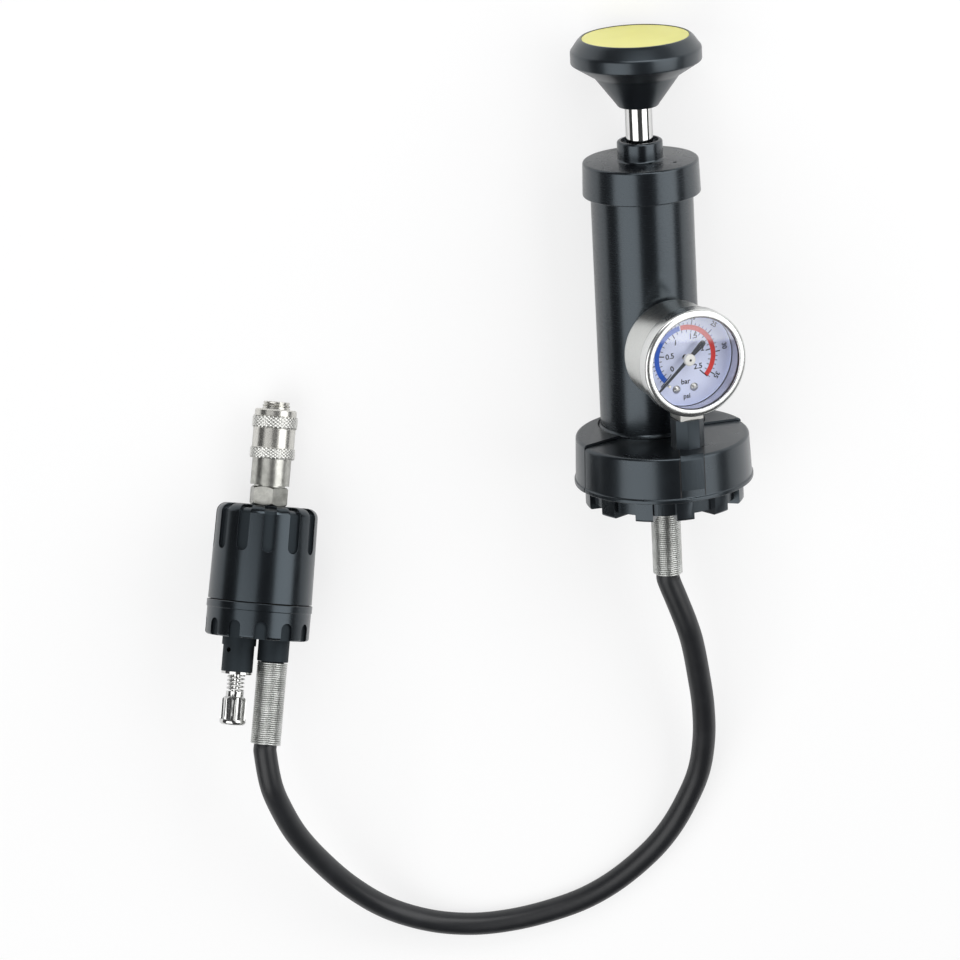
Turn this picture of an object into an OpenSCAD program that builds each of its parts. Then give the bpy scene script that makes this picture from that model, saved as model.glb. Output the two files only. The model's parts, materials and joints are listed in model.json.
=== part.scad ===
// Cooling system pressure tester: a hand pump with a dial gauge, a hose and a valve head
// with a quick coupler. It lies on its side on a flat surface, as it does when it is laid down.
//
// Millimetres. Z = 0 is the surface it lies on. +Y points along the pump towards its knob.
// The pump, the gauge and the valve head are each drawn in a frame of their own, with Z along
// their own axis and -Y as their upper side, and are then laid down by in_pump() and in_head().

/* [Pump base] */
// Outer radius of the base at its lower rim
base_r = 43.5; // [40:0.1:50]
// How much narrower the base is at its top than at its rim
base_draft = 1.4; // [0.5:0.1:3]
// Height of the front half of the base
base_h = 22.3; // [18:0.1:30]
// How far the rear half stands above the front half
base_step = 1.2; // [0.5:0.1:4]
// Rounding of the top edge of the base
base_round = 1.6; // [0.5:0.1:3]
// Height of the bead round the lower rim
bead_h = 1.8; // [1:0.1:3]
// Depth of the groove over the bead
bead_groove = 0.6; // [0.2:0.1:1]
// Direction of the left seam between the two halves
seam_left = 217.9; // [205:0.1:230]
// Direction of the right seam between the two halves
seam_right = 16.3; // [5:0.1:30]
// Distance from the base axis to the corner where the seams meet
seam_corner = 15.3; // [10:0.1:20]
// Gap between the two halves
seam_gap = 0.4; // [0.2:0.1:1]
// Thickness of the port plate inside the base
plate_h = 7.2; // [6:0.1:10]
// How far the port plate is set in from the rim
plate_in = 4; // [3.5:0.1:6]

/* [Lock ring] */
// How far the lugs are set in from the rim of the base
ring_in = 4.7; // [3:0.1:8]
// Depth of the lugs below the base
lug_h = 10.5; // [8:0.1:14]
// Width of each lug
lug_w = 8.7; // [6:0.1:12]
// How far the valleys are set in from the lugs
valley_in = 2.8; // [1:0.1:5]
// How much shallower the valleys are than the lugs
valley_up = 2.4; // [1:0.1:5]
// Number of lugs
lug_count = 12; // [8:4:16]
// Turn of the lugs about the base axis
lug_turn = 13; // [10:1:16]
// Radius of the opening for the hose
ring_bore_r = 24; // [14:0.1:28]

/* [Pump barrel] */
// Outside diameter of the barrel
barrel_d = 49.5; // [47:0.1:52]
// Wall of the barrel
barrel_wall = 3; // [2:0.1:4]
// Barrel length between the base and the cap
barrel_len = 116.3; // [90:0.1:150]
// How far the barrel stands left of the base axis
barrel_left = 4.6; // [0:0.1:8]
// How far the back of the barrel stands in from the rim of the base
barrel_clear = 1.75; // [1.5:0.05:4]
// Width of the flange at the barrel foot
foot_flange = 1.4; // [0.5:0.1:2.5]
// Bottom wall of the barrel
barrel_floor = 3; // [2:0.1:5]

/* [Barrel cap] */
// How far the cap stands out from the barrel
cap_over = 3.75; // [2.5:0.05:5]
// Height of the cap
cap_h = 16.6; // [12:0.1:25]
// Thickness of the top of the cap
cap_top = 4; // [3:0.1:6]
// Radius of the neck on the cap
neck_r = 11; // [10:0.1:13]
// Height of the neck
neck_h = 9.6; // [6:0.1:14]
// Radius of the bush in the neck
bush_r = 9; // [8:0.1:9.5]

/* [Plunger] */
// Diameter of the plunger rod
rod_d = 13; // [10:0.1:14]
// Rod showing between the neck and the knob at rest
rod_show = 16.8; // [8:0.1:40]
// Height of the piston
piston_h = 14; // [10:0.5:20]
// Gap between the piston and the barrel
piston_gap = 0.15; // [0.05:0.05:0.5]
// Radius of the knob at its band
knob_r = 31.5; // [28:0.1:36]
// Height of the straight band of the knob
knob_band = 5.6; // [3:0.1:8]
// Height of the rounded shoulder over the band
knob_shoulder = 6.3; // [3:0.1:8]
// Height of the flared underside below the band
knob_flare = 6.8; // [4:0.1:10]
// Height of the cone under the flare
knob_cone = 15.1; // [10:0.1:20]
// Radius at the top of the cone
cone_r = 20.9; // [16:0.1:24]
// Radius of the knob at its neck
knob_neck_r = 10.1; // [8:0.1:12]
// Radius of the coloured disc
disc_r = 25.7; // [20:0.1:27]
// Thickness of the coloured disc
disc_h = 1.6; // [1:0.1:3]

/* [Gauge] */
// How far the bezel stands out round the case
bezel_over = 1.8; // [0.6:0.1:2]
// Depth of the bezel
bezel_h = 8.2; // [6:0.1:8.6]
// Width of the bezel lip over the lens
bezel_lip = 3.8; // [2:0.1:5]
// Outside diameter of the case
case_d = 49.2; // [46:0.1:50]
// Depth of the whole gauge
gauge_h = 31.1; // [30:0.1:40]
// Wall of the case
case_wall = 0.6; // [0.5:0.1:1.5]
// Gap between the barrel and the back of the gauge
gauge_gap = 1.1; // [0.5:0.1:5]
// Height of the gauge axis above the base rim
gauge_up = 66.9; // [66:0.1:80]
// How far the gauge is turned to the right of straight up
gauge_turn = 22; // [0:0.5:30]
// Depth of the dial behind the front of the bezel
dial_deep = 13.4; // [11:0.1:14]
// Height of the hub cap over the dial
hub_up = 6.6; // [4.6:0.1:7]
// Radius of the hub cap
hub_r = 2.9; // [2:0.1:4]
// Length of the needle from its axis to its tip
needle_len = 20.6; // [15:0.1:21]
// Length of the needle tail
tail_len = 11.4; // [6:0.1:13]
// Where the needle points at rest
needle_zero = 224; // [220:1:230]
// Turn of the needle from zero to full scale
needle_sweep = 270; // [240:5:280]
// Pitch radius of the sector
sector_r = 9; // [8:0.1:10]
// Pitch radius of the pinion on the needle arbor
pinion_r = 1.5; // [1.2:0.1:2]

/* [Gauge post] */
// Radius of the eight-sided post over its corners
post_r = 8; // [7:0.1:9]
// Height of the post
post_h = 14.6; // [10:0.1:15]
// Distance from the back of the gauge to the axis of its stem
stem_at = 17.15; // [15:0.05:18]
// Width of the pad under the post
pad_w = 11.2; // [8:0.1:14]
// Thickness of the pad
pad_t = 0.6; // [0.4:0.1:1.2]
// Size of the square on the gauge stem
stem_square = 12; // [10:0.1:13]
// Radius of the stem shank
shank_r = 4.9; // [4:0.1:5.5]

/* [Hose] */
// Outside diameter of the hose
hose_d = 11.4; // [10:0.1:11.5]
// Wire of the springs over the hose ends
guard_wire = 1; // [0.8:0.1:1.2]
// Pitch of the turns of those springs
guard_pitch = 1.5; // [1.45:0.05:2]
// Room between the hose and the spring at the pump end
pump_guard_room = 0.05; // [0.05:0.05:0.5]
// Length of the spring at the pump end
pump_guard_len = 43; // [30:1:50]
// Room between the hose and the spring at the valve end
head_guard_room = 0.3; // [0.05:0.05:0.6]
// Length of the spring at the valve end
head_guard_len = 41; // [30:1:50]
// Length of the fitting below the port plate
fitting_h = 6; // [4:0.1:8]

/* [Valve head] */
// Radius of the shell at its top
shell_r = 25; // [23:0.1:27]
// How much wider the shell is at its bottom
shell_draft = 0.6; // [0:0.1:1.5]
// Height of the shell
shell_h = 47.2; // [40:0.1:55]
// Rounding of the shoulder
shoulder = 4.8; // [2:0.1:6]
// Wall of the shell
shell_wall = 2.6; // [2:0.1:3.5]
// Number of flutes
flute_count = 12; // [8:1:16]
// Width of a flute
flute_w = 5.8; // [4:0.1:7]
// Length of a flute
flute_len = 22.4; // [15:0.1:30]
// Depth of a flute
flute_deep = 1.5; // [0.8:0.1:2]
// Turn of the flutes about the head
flute_turn = 5; // [0:1:29]
// Gap between the shell and the lower ring
head_seam = 0.5; // [0.3:0.1:1]
// Radius of the band on the lower ring
band_r = 26; // [24.5:0.1:28]
// Height of the band
band_h = 3.5; // [2:0.1:5]
// Height of the lower ring
lower_h = 17.4; // [14:0.1:22]
// Height of the notches in the lower ring
notch_h = 8.6; // [6:0.1:12]
// Width of the notches
notch_w = 6; // [4:0.1:7]
// Depth of the notches
notch_deep = 1.5; // [0.8:0.1:2]
// Radius of the core inside the head
core_r = 19; // [17:0.1:21]

/* [Head ports] */
// Distance of the hose port from the head axis
hose_port_x = 8.7; // [8:0.1:10]
// Radius of the hose boss
boss_r = 7.7; // [7:0.1:8.2]
// Length of the hose boss
boss_h = 11.2; // [8:0.1:15]
// Distance of the release valve from the head axis
release_x = 8.4; // [8:0.1:10]
// Radius of the flange of the release bush
flange_r = 8.4; // [8:0.1:8.6]
// Height of that flange
flange_h = 4.5; // [3:0.1:6]
// Radius of the release bush
rbush_r = 7.7; // [7:0.1:8]
// Length of the release bush below its flange
rbush_h = 13; // [10:0.1:16]
// Diameter of the vent hole in the bush
vent_d = 2.5; // [1.5:0.1:3]
// Thickness of the spring washer
washer_h = 1.2; // [0.8:0.1:2]
// Radius of the release stem
rstem_r = 2.2; // [1.8:0.1:2.5]
// Room between the washer and the release knob
release_gap = 8.6; // [7:0.1:10]
// How far the release knob can be pressed
release_travel = 3; // [1:0.5:3.5]
// Radius of the release knob
rknob_r = 6.5; // [5:0.1:7]
// Length of the release knob
rknob_h = 16.5; // [12:0.1:20]
// Number of grooves in the release knob
groove_count = 8; // [6:1:10]

/* [Quick coupler] */
// Width of the hexagon across its flats
hex_af = 17; // [15:0.5:19]
// Height of the hexagon
hex_h = 9.2; // [6:0.1:12]
// Radius of the fixed barrel
cbody_r = 9.6; // [9:0.1:10]
// Length of the fixed barrel below the sleeve
cbody_show = 13; // [10:0.1:16]
// Radius of the sleeve between its bands
sleeve_r = 10.4; // [10.3:0.1:11]
// Radius of the gripping bands
grip_r = 11.1; // [10.6:0.1:12]
// Height of the lower gripping band
grip_low_h = 5.6; // [4:0.1:8]
// Height of the smooth stretch between the bands
sleeve_mid = 9.4; // [6:0.1:12]
// Height of the upper gripping band
grip_high_h = 6.2; // [4:0.1:8]
// Height of the collar at the end of the sleeve
collar_h = 3.2; // [2:0.1:5]
// Radius of the inner tube
ctube_r = 8.2; // [8:0.1:8.4]
// Radius of the nozzle
nozzle_r = 6.8; // [6.5:0.1:7]
// How far the nozzle stands out of the sleeve
nozzle_out = 3.8; // [2:0.1:6]
// Radius of the socket for the plug
socket_r = 5.2; // [4.5:0.05:5.4]
// Depth of the socket
socket_deep = 17; // [14:0.5:20]
// Radius of the chamber of the inner valve
chamber_r = 4.9; // [4.6:0.05:5]
// How far the sleeve slides back
sleeve_travel = 5; // [3:0.5:6]
// Number of locking balls
ball_count = 6; // [4:1:6]
// Radius of a locking ball
ball_r = 1.45; // [1.2:0.05:1.5]
// How far the plug pushes the inner valve back
poppet_travel = 3; // [1:0.5:4]

/* [Layout] */
// Place of the base axis across the surface
pump_x = 90; // [70:0.1:110]
// Place of the base rim along the surface
pump_y = -40.9; // [-60:0.1:-20]
// Turn of the pump on the surface
pump_heading = 2.94; // [0:0.01:6]
// Place of the valve head across the surface
head_x = -103.8; // [-120:0.1:-90]
// Place of the top of the shell along the surface
head_y = -61.4; // [-80:0.1:-40]
// Turn of the valve head on the surface
head_heading = -5.05; // [-8:0.01:0]

/* [Hidden] */
$fn = 96;
e = 0.01;            // overlap between pieces of one union
cut = 1;             // how far a cutter runs past what it cuts
seat = 0.05;         // gap of a piece in its bore
run = 0.06;          // radial clearance of a sliding fit
soft_gap = 0.3;      // gap between a moving piece and its stop
black = [0.07, 0.075, 0.085];
steel = [0.72, 0.73, 0.73];
brass = [0.80, 0.66, 0.36];
rubber = [0.05, 0.05, 0.05];

// Radius of the turns of the springs over the hose, whose turns have eight straight stretches
pump_guard_r = (hose_d / 2 + guard_wire / 2 + pump_guard_room) / cos(22.5);
head_guard_r = (hose_d / 2 + guard_wire / 2 + head_guard_room) / cos(22.5);

plate_r = base_r - plate_in;
ring_r = base_r - ring_in;
cap_r = barrel_d / 2 + cap_over;
fitting_r = 6;       // stub of a fitting that is screwed into a plate
port_r = 5.9;        // stub of the pieces that are screwed into the valve head
recess_r = 6;        // room under the barrel for its valve
recess_h = 3;
tail_r = 7;          // stub of the coupler in the valve head
tail_h = 14;
spring_room = 7;     // room for the spring of the inner valve, over its travel

// Heights above the base rim, along the pump
plate_z = 1;
plate_top = plate_z + plate_h;
cap_z = base_h + barrel_len;
cap_top_z = cap_z + cap_h;
neck_z = cap_top_z + neck_h;
knob_z = neck_z + rod_show;
knob_h = knob_cone + knob_flare + knob_band + knob_shoulder;
barrel_top = cap_top_z - cap_top - 0.5;
bush_z = cap_top_z - cap_top - 1.2;
floor_z = plate_top + barrel_floor;
barrel_behind = base_r - barrel_clear - barrel_d / 2;
barrel_at = [-barrel_left, barrel_behind, 0];
piston_z = floor_z + soft_gap + rod_show;
bore_r = barrel_d / 2 - barrel_wall;

// The pump rests on the rim of its base and on the band of its knob.
pump_lean = atan((knob_r - base_r + barrel_behind) / (knob_z + knob_cone + knob_flare));
pump_z = base_r * cos(pump_lean);

// The valve head rests on its shoulder and on the upper gripping band of its coupler.
sleeve_z = hex_h + 0.8 + cbody_show;
grip_low_z = sleeve_z + grip_low_h;
grip_high_z = grip_low_z + sleeve_mid;
collar_z = grip_high_z + grip_high_h;
sleeve_top = collar_z + collar_h;
nozzle_top = sleeve_top + nozzle_out;
rest_run = collar_z + shoulder;
rest_drop = shell_r - shoulder - grip_r;
head_dip = atan(rest_drop / rest_run) + asin(shoulder / norm([rest_run, rest_drop]));
head_z = (collar_z * sin(head_dip)) + grip_r * cos(head_dip);

// Heights in the valve head
lower_z = -shell_h - head_seam;
head_bottom = lower_z - lower_h;
boss_z = head_bottom - boss_h;
flange_z = head_bottom - flange_h;
rbush_z = flange_z - rbush_h;
washer_z = rbush_z - washer_h;
rknob_z = washer_z - release_gap;

// Places in the gauge, above the back of its case
gauge_back = barrel_d / 2 + gauge_gap;
dial_z = gauge_h - dial_deep;
dial_t = 0.5;
case_r = case_d / 2;
case_in = case_r - case_wall;
bezel_r = case_r + bezel_over;
post_z = base_h + post_h;
stem_h = min(4.6, gauge_up - bezel_r - post_z - 0.3);
stem_out = gauge_back + stem_at;
post_at = barrel_at + stem_out * [sin(gauge_turn), -cos(gauge_turn), 0];

module in_pump()
    translate([pump_x, pump_y, pump_z]) rotate([pump_lean - 90, 0, pump_heading]) children();

module in_head()
    translate([head_x, head_y, head_z]) rotate([-head_dip - 90, 0, head_heading]) children();

module in_barrel() in_pump() translate(barrel_at) children();

module in_gauge()
    in_barrel() translate([0, 0, gauge_up]) rotate([90, 0, gauge_turn])
        translate([0, 0, gauge_back]) children();

// A quarter circle of points, for rounded profiles
function arc(c, r, from, to, n = 6) =
    [for (i = [0 : n]) let (a = from + (to - from) * i / n) c + r * [cos(a), sin(a)]];

module ring(r_out, r_in, h) difference() {
    cylinder(r = r_out, h = h);
    translate([0, 0, -cut]) cylinder(r = r_in, h = h + 2 * cut);
}

// ---- Swept wires and tubes ----

// A point of a helix about Z, at t turns
function turn_point(r, pitch, t) = [r * cos(360 * t), r * sin(360 * t), pitch * t];

// Six points round a wire at t turns of a helix
function wire_ring(r, pitch, wire, t) =
    let (p = turn_point(r, pitch, t), out = [cos(360 * t), sin(360 * t), 0],
         along = [-2 * PI * r * sin(360 * t), 2 * PI * r * cos(360 * t), pitch],
         side = cross(along / norm(along), out))
    [for (k = [0 : 5]) p + wire / 2 * (cos(60 * k + 30) * out + sin(60 * k + 30) * side)];

// A tube through rings of n points each, closed at both ends
module tube_through(rings, n) {
    last = len(rings) - 1;
    points = [for (ring = rings) each ring];
    sides = [for (i = [0 : last - 1], k = [0 : n - 1])
        let (a = i * n + k, b = i * n + (k + 1) % n) each [[a, b, b + n], [a, b + n, a + n]]];
    start = [for (k = [1 : n - 2]) [0, k + 1, k]];
    end = [for (k = [1 : n - 2]) [last * n, last * n + k, last * n + k + 1]];
    polyhedron(points, concat(sides, start, end), convexity = 6);
}

module coil(r, pitch, wire, turns, stretches = 8) {
    steps = round(turns * stretches);
    tube_through([for (i = [0 : steps]) wire_ring(r, pitch, wire, i / stretches)], 6);
}

// Least gap between the wire surfaces of neighbouring turns, measured on points of the helix
function coil_gap(r, pitch, wire) =
    min([for (i = [0 : 47]) norm(turn_point(r, pitch, 1 - 0.25 + i / 96) - turn_point(r, pitch, 0))])
    - wire;

// ---- Base of the pump ----

function base_profile(h) =
    let (top_r = base_r - base_draft, wall_r = base_r - bead_groove)
    concat([[0, 0], [base_r, 0], [base_r, bead_h], [wall_r, bead_h + 0.4]],
           arc([top_r - base_round, h - base_round], base_round, 0, 90), [[0, h]]);

module rear_sector(h) {
    corner = [-seam_corner, 0];
    far = 4 * base_r;
    linear_extrude(h) polygon([
        corner, corner + far * [cos(seam_right), sin(seam_right)], [far, 2 * far],
        [-far, 2 * far], corner + far * [cos(seam_left), sin(seam_left)]]);
}

screw_at = [for (a = [15, 165, 225, 315]) (ring_r - 6.8) * [cos(a + lug_turn), sin(a + lug_turn), 0]];
screw_r = 1.6;
screw_head_r = 3;
screw_len = 14;

module screw_holes(h) for (p = screw_at) translate(p) cylinder(r = screw_r + seat, h = h, $fn = 32);

module pump_base() color(black) in_pump() difference() {
    intersection() {
        rotate_extrude() polygon(base_profile(base_h + base_step));
        translate([0, 0, -cut]) rear_sector(base_h + 4 * cut);
    }
    translate([0, 0, -cut]) cylinder(r = plate_r + seat, h = plate_top + cut);
    translate(barrel_at) {
        cylinder(r = barrel_d / 2 + seat, h = 2 * base_h);
        translate([0, 0, base_h - 4]) cylinder(r = barrel_d / 2 + foot_flange + seat, h = base_h);
    }
    translate([0, 0, plate_top - cut]) screw_holes(screw_len - plate_h + cut);
}

module front_cover() color(black) in_pump() difference() {
    rotate_extrude() polygon(base_profile(base_h));
    translate([0, -seam_gap, -cut]) rear_sector(2 * base_h);
    translate([0, 0, -cut]) cylinder(r = plate_r + seat, h = plate_top + cut);
    translate(barrel_at) {
        cylinder(r = barrel_d / 2 + seat, h = 2 * base_h);
        translate([0, 0, base_h - 4]) cylinder(r = barrel_d / 2 + foot_flange + seat, h = base_h);
    }
    translate([post_at.x, post_at.y, -cut]) cylinder(r = 1.5, h = 2 * base_h, $fn = 32);
    translate([0, 0, plate_top - cut]) screw_holes(screw_len - plate_h + cut);
}

module port_plate() color(black) in_pump() difference() {
    translate([0, 0, plate_z]) cylinder(r = plate_r, h = plate_h);
    translate([0, 0, plate_z - cut]) cylinder(r = fitting_r + seat, h = 5 + cut);
    translate(barrel_at + [0, 0, plate_top - recess_h]) cylinder(r = recess_r, h = recess_h + cut);
    for (p = [barrel_at, post_at])
        translate([0, 0, plate_top - 2]) rotate([0, 0, atan2(p.y, p.x)])
            rotate([0, 90, 0]) cylinder(r = 1.2, h = norm([p.x, p.y]), $fn = 32);
    translate([post_at.x, post_at.y, plate_top - 3.7]) cylinder(r = 1.5, h = 3.7 + cut, $fn = 32);
    screw_holes(2 * plate_h);
}

module lock_ring() color(black) in_pump() difference() {
    union() {
        translate([0, 0, valley_up - lug_h])
            cylinder(r = ring_r - valley_in, h = lug_h - valley_up + plate_z);
        intersection() {
            translate([0, 0, -lug_h]) rotate_extrude() polygon(concat(
                [[ring_r - 9, 0]], arc([ring_r - 1, 1], 1, -90, 0, 4),
                [[ring_r, lug_h], [ring_r - 9, lug_h]]));
            for (i = [0 : lug_count - 1]) rotate([0, 0, 360 * i / lug_count + lug_turn])
                translate([0, -lug_w / 2, -lug_h - cut]) cube([2 * ring_r, lug_w, lug_h + 2 * cut]);
        }
    }
    translate([0, 0, -lug_h - cut]) cylinder(r = ring_bore_r, h = 3 * lug_h);
    translate([0, 0, -lug_h - cut]) screw_holes(3 * lug_h);
    for (p = screw_at) translate(p + [0, 0, -lug_h - cut])
        cylinder(r = screw_head_r + 0.3, h = lug_h - 4 + cut, $fn = 32);
}

module base_screws() color(steel) in_pump() for (p = screw_at) translate(p) difference() {
    union() {
        translate([0, 0, -6]) cylinder(r = screw_head_r, h = 2, $fn = 32);
        translate([0, 0, -4 - e]) cylinder(r = screw_r, h = 4 + screw_len, $fn = 32);
    }
    for (a = [0, 90]) rotate([0, 0, a]) translate([-2, -0.4, -6 - cut]) cube([4, 0.8, 1 + cut]);
}

// ---- Barrel and cap ----

module barrel() color(black) in_barrel() difference() {
    union() {
        translate([0, 0, plate_top]) cylinder(d = barrel_d, h = barrel_top - plate_top);
        translate([0, 0, base_h - 4]) cylinder(r = barrel_d / 2 + foot_flange, h = 4 + base_step / 2);
        translate([0, 0, base_h + base_step / 2 - e])
            cylinder(r1 = barrel_d / 2 + foot_flange, r2 = barrel_d / 2, h = base_step);
    }
    translate([0, 0, floor_z]) cylinder(r = bore_r, h = barrel_top);
    translate([0, 0, plate_top - cut]) cylinder(r = 1.3, h = 2 * barrel_floor + cut, $fn = 32);
    for (a = [0 : 60 : 300]) rotate([0, 0, a]) translate([3.6, 0, plate_top - cut])
        cylinder(r = 1, h = 2 * barrel_floor + cut, $fn = 24);
}

// A rubber disc valve that lets air out of the barrel and not back
module check_valve() color(rubber) in_barrel() translate([0, 0, plate_top]) {
    translate([0, 0, -1]) cylinder(r1 = 4.6, r2 = 5.4, h = 0.8);
    translate([0, 0, -0.2 - e]) cylinder(r = 5.4, h = 0.2);
    translate([0, 0, -0.5]) cylinder(r = 1.25, h = barrel_floor + 0.5, $fn = 32);
    translate([0, 0, barrel_floor - e]) cylinder(r1 = 1.6, r2 = 0.9, h = 0.25, $fn = 32);
}

module barrel_cap() color(black) in_barrel() difference() {
    rotate_extrude() polygon(concat(
        [[0, cap_z]], arc([cap_r - 0.6, cap_z + 0.6], 0.6, -90, 0, 3),
        arc([cap_r - 0.5 - 1.2, cap_top_z - 1.2], 1.2, 0, 90, 4),
        [[neck_r + 1.2, cap_top_z]],
        arc([neck_r + 1.2, cap_top_z + 1.2], 1.2, 270, 180, 4),
        arc([neck_r - 1.2, neck_z - 1.2], 1.2, 0, 90, 4), [[0, neck_z]]));
    translate([0, 0, cap_z - cut]) cylinder(r = barrel_d / 2 + 0.1, h = cap_h - cap_top + cut);
    translate([0, 0, cap_z]) cylinder(r = bush_r + seat, h = 2 * (cap_h + neck_h));
    rotate([0, 0, -32]) translate([19, 0, cap_top_z - cap_top - cut])
        cylinder(r = 0.9, h = cap_top + 2 * cut, $fn = 24);
}

module rod_bush() color([0.1, 0.1, 0.11]) in_barrel() difference() {
    union() {
        translate([0, 0, bush_z]) cylinder(r = bush_r, h = neck_z - 1.6 - bush_z);
        translate([0, 0, bush_z]) cylinder(r = bush_r + 3, h = 1.2);
    }
    translate([0, 0, bush_z - cut]) cylinder(r = rod_d / 2 + run, h = 2 * cap_h + neck_h);
}

// ---- Plunger ----

module plunger_rod() color(steel) in_barrel() translate([0, 0, piston_z + 6])
    cylinder(d = rod_d, h = knob_z + 16 - piston_z - 6);

module piston() color([0.75, 0.75, 0.72]) in_barrel() translate([0, 0, piston_z]) difference() {
    cylinder(r = bore_r - piston_gap, h = piston_h);
    translate([0, 0, 5]) ring(bore_r + cut, bore_r - 4, 5);
    translate([0, 0, 6]) cylinder(d = rod_d + 2 * seat, h = piston_h);
    translate([0, 0, -cut]) cylinder(r = 3 + seat, h = piston_h, $fn = 48);
    translate([0, 0, -cut]) cylinder(r = 7, h = 3 + cut);
}

module piston_seal() color(rubber) in_barrel() translate([0, 0, piston_z + 5 + seat])
    rotate_extrude() polygon([
        [bore_r - 4 + seat, 0], [bore_r - 1, 0], [bore_r - 0.03, 1.4], [bore_r - 0.03, 3.6],
        [bore_r - 1, 5 - 2 * seat], [bore_r - 4 + seat, 5 - 2 * seat]]);

module piston_nut() color(steel) in_barrel() translate([0, 0, piston_z]) {
    translate([0, 0, 0.3]) cylinder(r = 5.5, h = 2.7, $fn = 6);
    translate([0, 0, 3 - e]) cylinder(r = 3, h = 3, $fn = 48);
}

module knob() color(black) in_barrel() translate([0, 0, knob_z]) difference() {
    flare_z = knob_cone + knob_flare;
    rim_r = disc_r + 1.3;
    rotate_extrude() polygon(concat(
        [[0, 0]], arc([knob_neck_r - 1.5, 1.5], 1.5, -90, 0, 4),
        [[cone_r, knob_cone]], [[knob_r - 0.5, flare_z - 0.6], [knob_r, flare_z]],
        [[knob_r, flare_z + knob_band]],
        [for (i = [1 : 6]) let (a = 90 * i / 6)
            [rim_r + (knob_r - rim_r) * cos(a), flare_z + knob_band + knob_shoulder * sin(a)]],
        [[0, knob_h]]));
    translate([0, 0, knob_h - disc_h]) cylinder(r = disc_r + seat, h = disc_h + cut);
    translate([0, 0, -cut]) cylinder(d = rod_d + 2 * seat, h = 16 + cut);
}

module knob_disc() color([0.93, 0.87, 0.25]) in_barrel() translate([0, 0, knob_z + knob_h - disc_h])
    cylinder(r = disc_r, h = disc_h - 0.2);

// ---- Gauge ----

module gauge_post() color(black) in_pump() difference() {
    union() {
        translate([post_at.x, post_at.y, base_h]) cylinder(r = post_r, h = post_h, $fn = 8);
        intersection() {
            difference() {
                rotate_extrude() polygon([
                    [0, base_h], [base_r - base_draft - base_round, base_h],
                    [base_r - base_draft + 0.2, base_h - base_round], [base_r - bead_groove, 6],
                    [base_r - bead_groove + pad_t, 6], [base_r - base_draft + pad_t, base_h - base_round],
                    [base_r - base_draft - base_round + 0.5, base_h + pad_t], [0, base_h + pad_t]]);
                rotate_extrude() polygon(base_profile(base_h));
            }
            translate([post_at.x - pad_w / 2 + 1.2, -2 * base_r, 0])
                cube([pad_w, 2 * base_r + post_at.y, 2 * base_h]);
        }
    }
    translate([post_at.x, post_at.y, base_h - cut]) cylinder(r = 1.5, h = post_h, $fn = 32);
    translate([post_at.x, post_at.y, post_z - 10]) cylinder(r = shank_r + seat, h = 10 + cut, $fn = 48);
}

module gauge_stem() color(brass) {
    in_barrel() rotate([0, 0, gauge_turn]) translate([0, -stem_out, 0]) difference() {
        union() {
            translate([0, 0, post_z - 9.8]) cylinder(r = shank_r, h = 9.8 + e, $fn = 48);
            translate([-stem_square / 2, -stem_square / 2, post_z])
                cube([stem_square, stem_square, stem_h]);
            translate([0, 0, post_z + stem_h - e])
                cylinder(r = 5.2, h = gauge_up - case_in - post_z - stem_h + e);
            translate([-4.2, -block_top, gauge_up - case_in - e])
                cube([8.4, block_top + 3, 4]);
            translate([-block_w / 2, -block_top, gauge_up - case_in + 3])
                cube([block_w, block_top - block_bottom, block_h]);
        }
        translate([0, 0, post_z - 10 - cut])
            cylinder(r = 1.2, h = gauge_up - case_in - post_z + 16, $fn = 32);
        for (p = dial_screw_at) translate([p.x, 3 - block_top, gauge_up + p.y])
            rotate([90, 0, 0]) cylinder(r = 1 + seat, h = 3 + cut, $fn = 32);
    }
}

module gauge_case() color(steel) in_gauge() difference() {
    rotate_extrude() polygon(concat([[0, 0]], arc([case_r - 2.6, 2.6], 2.6, -90, 0),
        [[case_r, gauge_h - 3.2], [0, gauge_h - 3.2]]));
    translate([0, 0, 1]) cylinder(r = case_in, h = gauge_h);
    translate([0, 0, stem_at]) rotate([90, 0, 0]) cylinder(r = 5.2 + seat, h = 2 * case_r, $fn = 48);
}

module gauge_bezel() color(steel) in_gauge() difference() {
    rotate_extrude() polygon(concat(
        [[case_r + seat, gauge_h - bezel_h], [bezel_r - 0.4, gauge_h - bezel_h],
         [bezel_r, gauge_h - bezel_h + 0.8]],
        arc([bezel_r - 1.6, gauge_h - 1.6], 1.6, 0, 90, 5),
        [[bezel_r - bezel_lip, gauge_h - 0.9], [bezel_r - bezel_lip, gauge_h - 1.3],
         [case_r + seat, gauge_h - 1.3]]));
}

module gauge_lens() color([0.85, 0.92, 0.95, 0.35]) in_gauge() translate([0, 0, gauge_h - 3.1])
    cylinder(r = case_r - 0.1, h = 1.7);

module dial_ring() color([0.8, 0.8, 0.82]) in_gauge() translate([0, 0, dial_z])
    ring(case_in - seat, bezel_r - bezel_lip + 0.2, gauge_h - 3.3 - dial_z);

module gauge_dial() color([0.87, 0.89, 0.97]) in_gauge() difference() {
    translate([0, 0, dial_z - dial_t]) cylinder(r = case_in - seat, h = dial_t);
    translate([0, 0, dial_z - 2]) cylinder(r = 1.4, h = 4, $fn = 32);
    for (p = dial_screw_at) translate(p + [0, 0, dial_z - 2]) cylinder(r = 1.1, h = 4, $fn = 32);
    translate(pin_at + [0, 0, dial_z - 2]) cylinder(r = 0.65, h = 4, $fn = 24);
}

dial_screw_at = [[-5.1, 8.7 - case_in, 0], [4.1, 8.7 - case_in, 0]];

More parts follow.
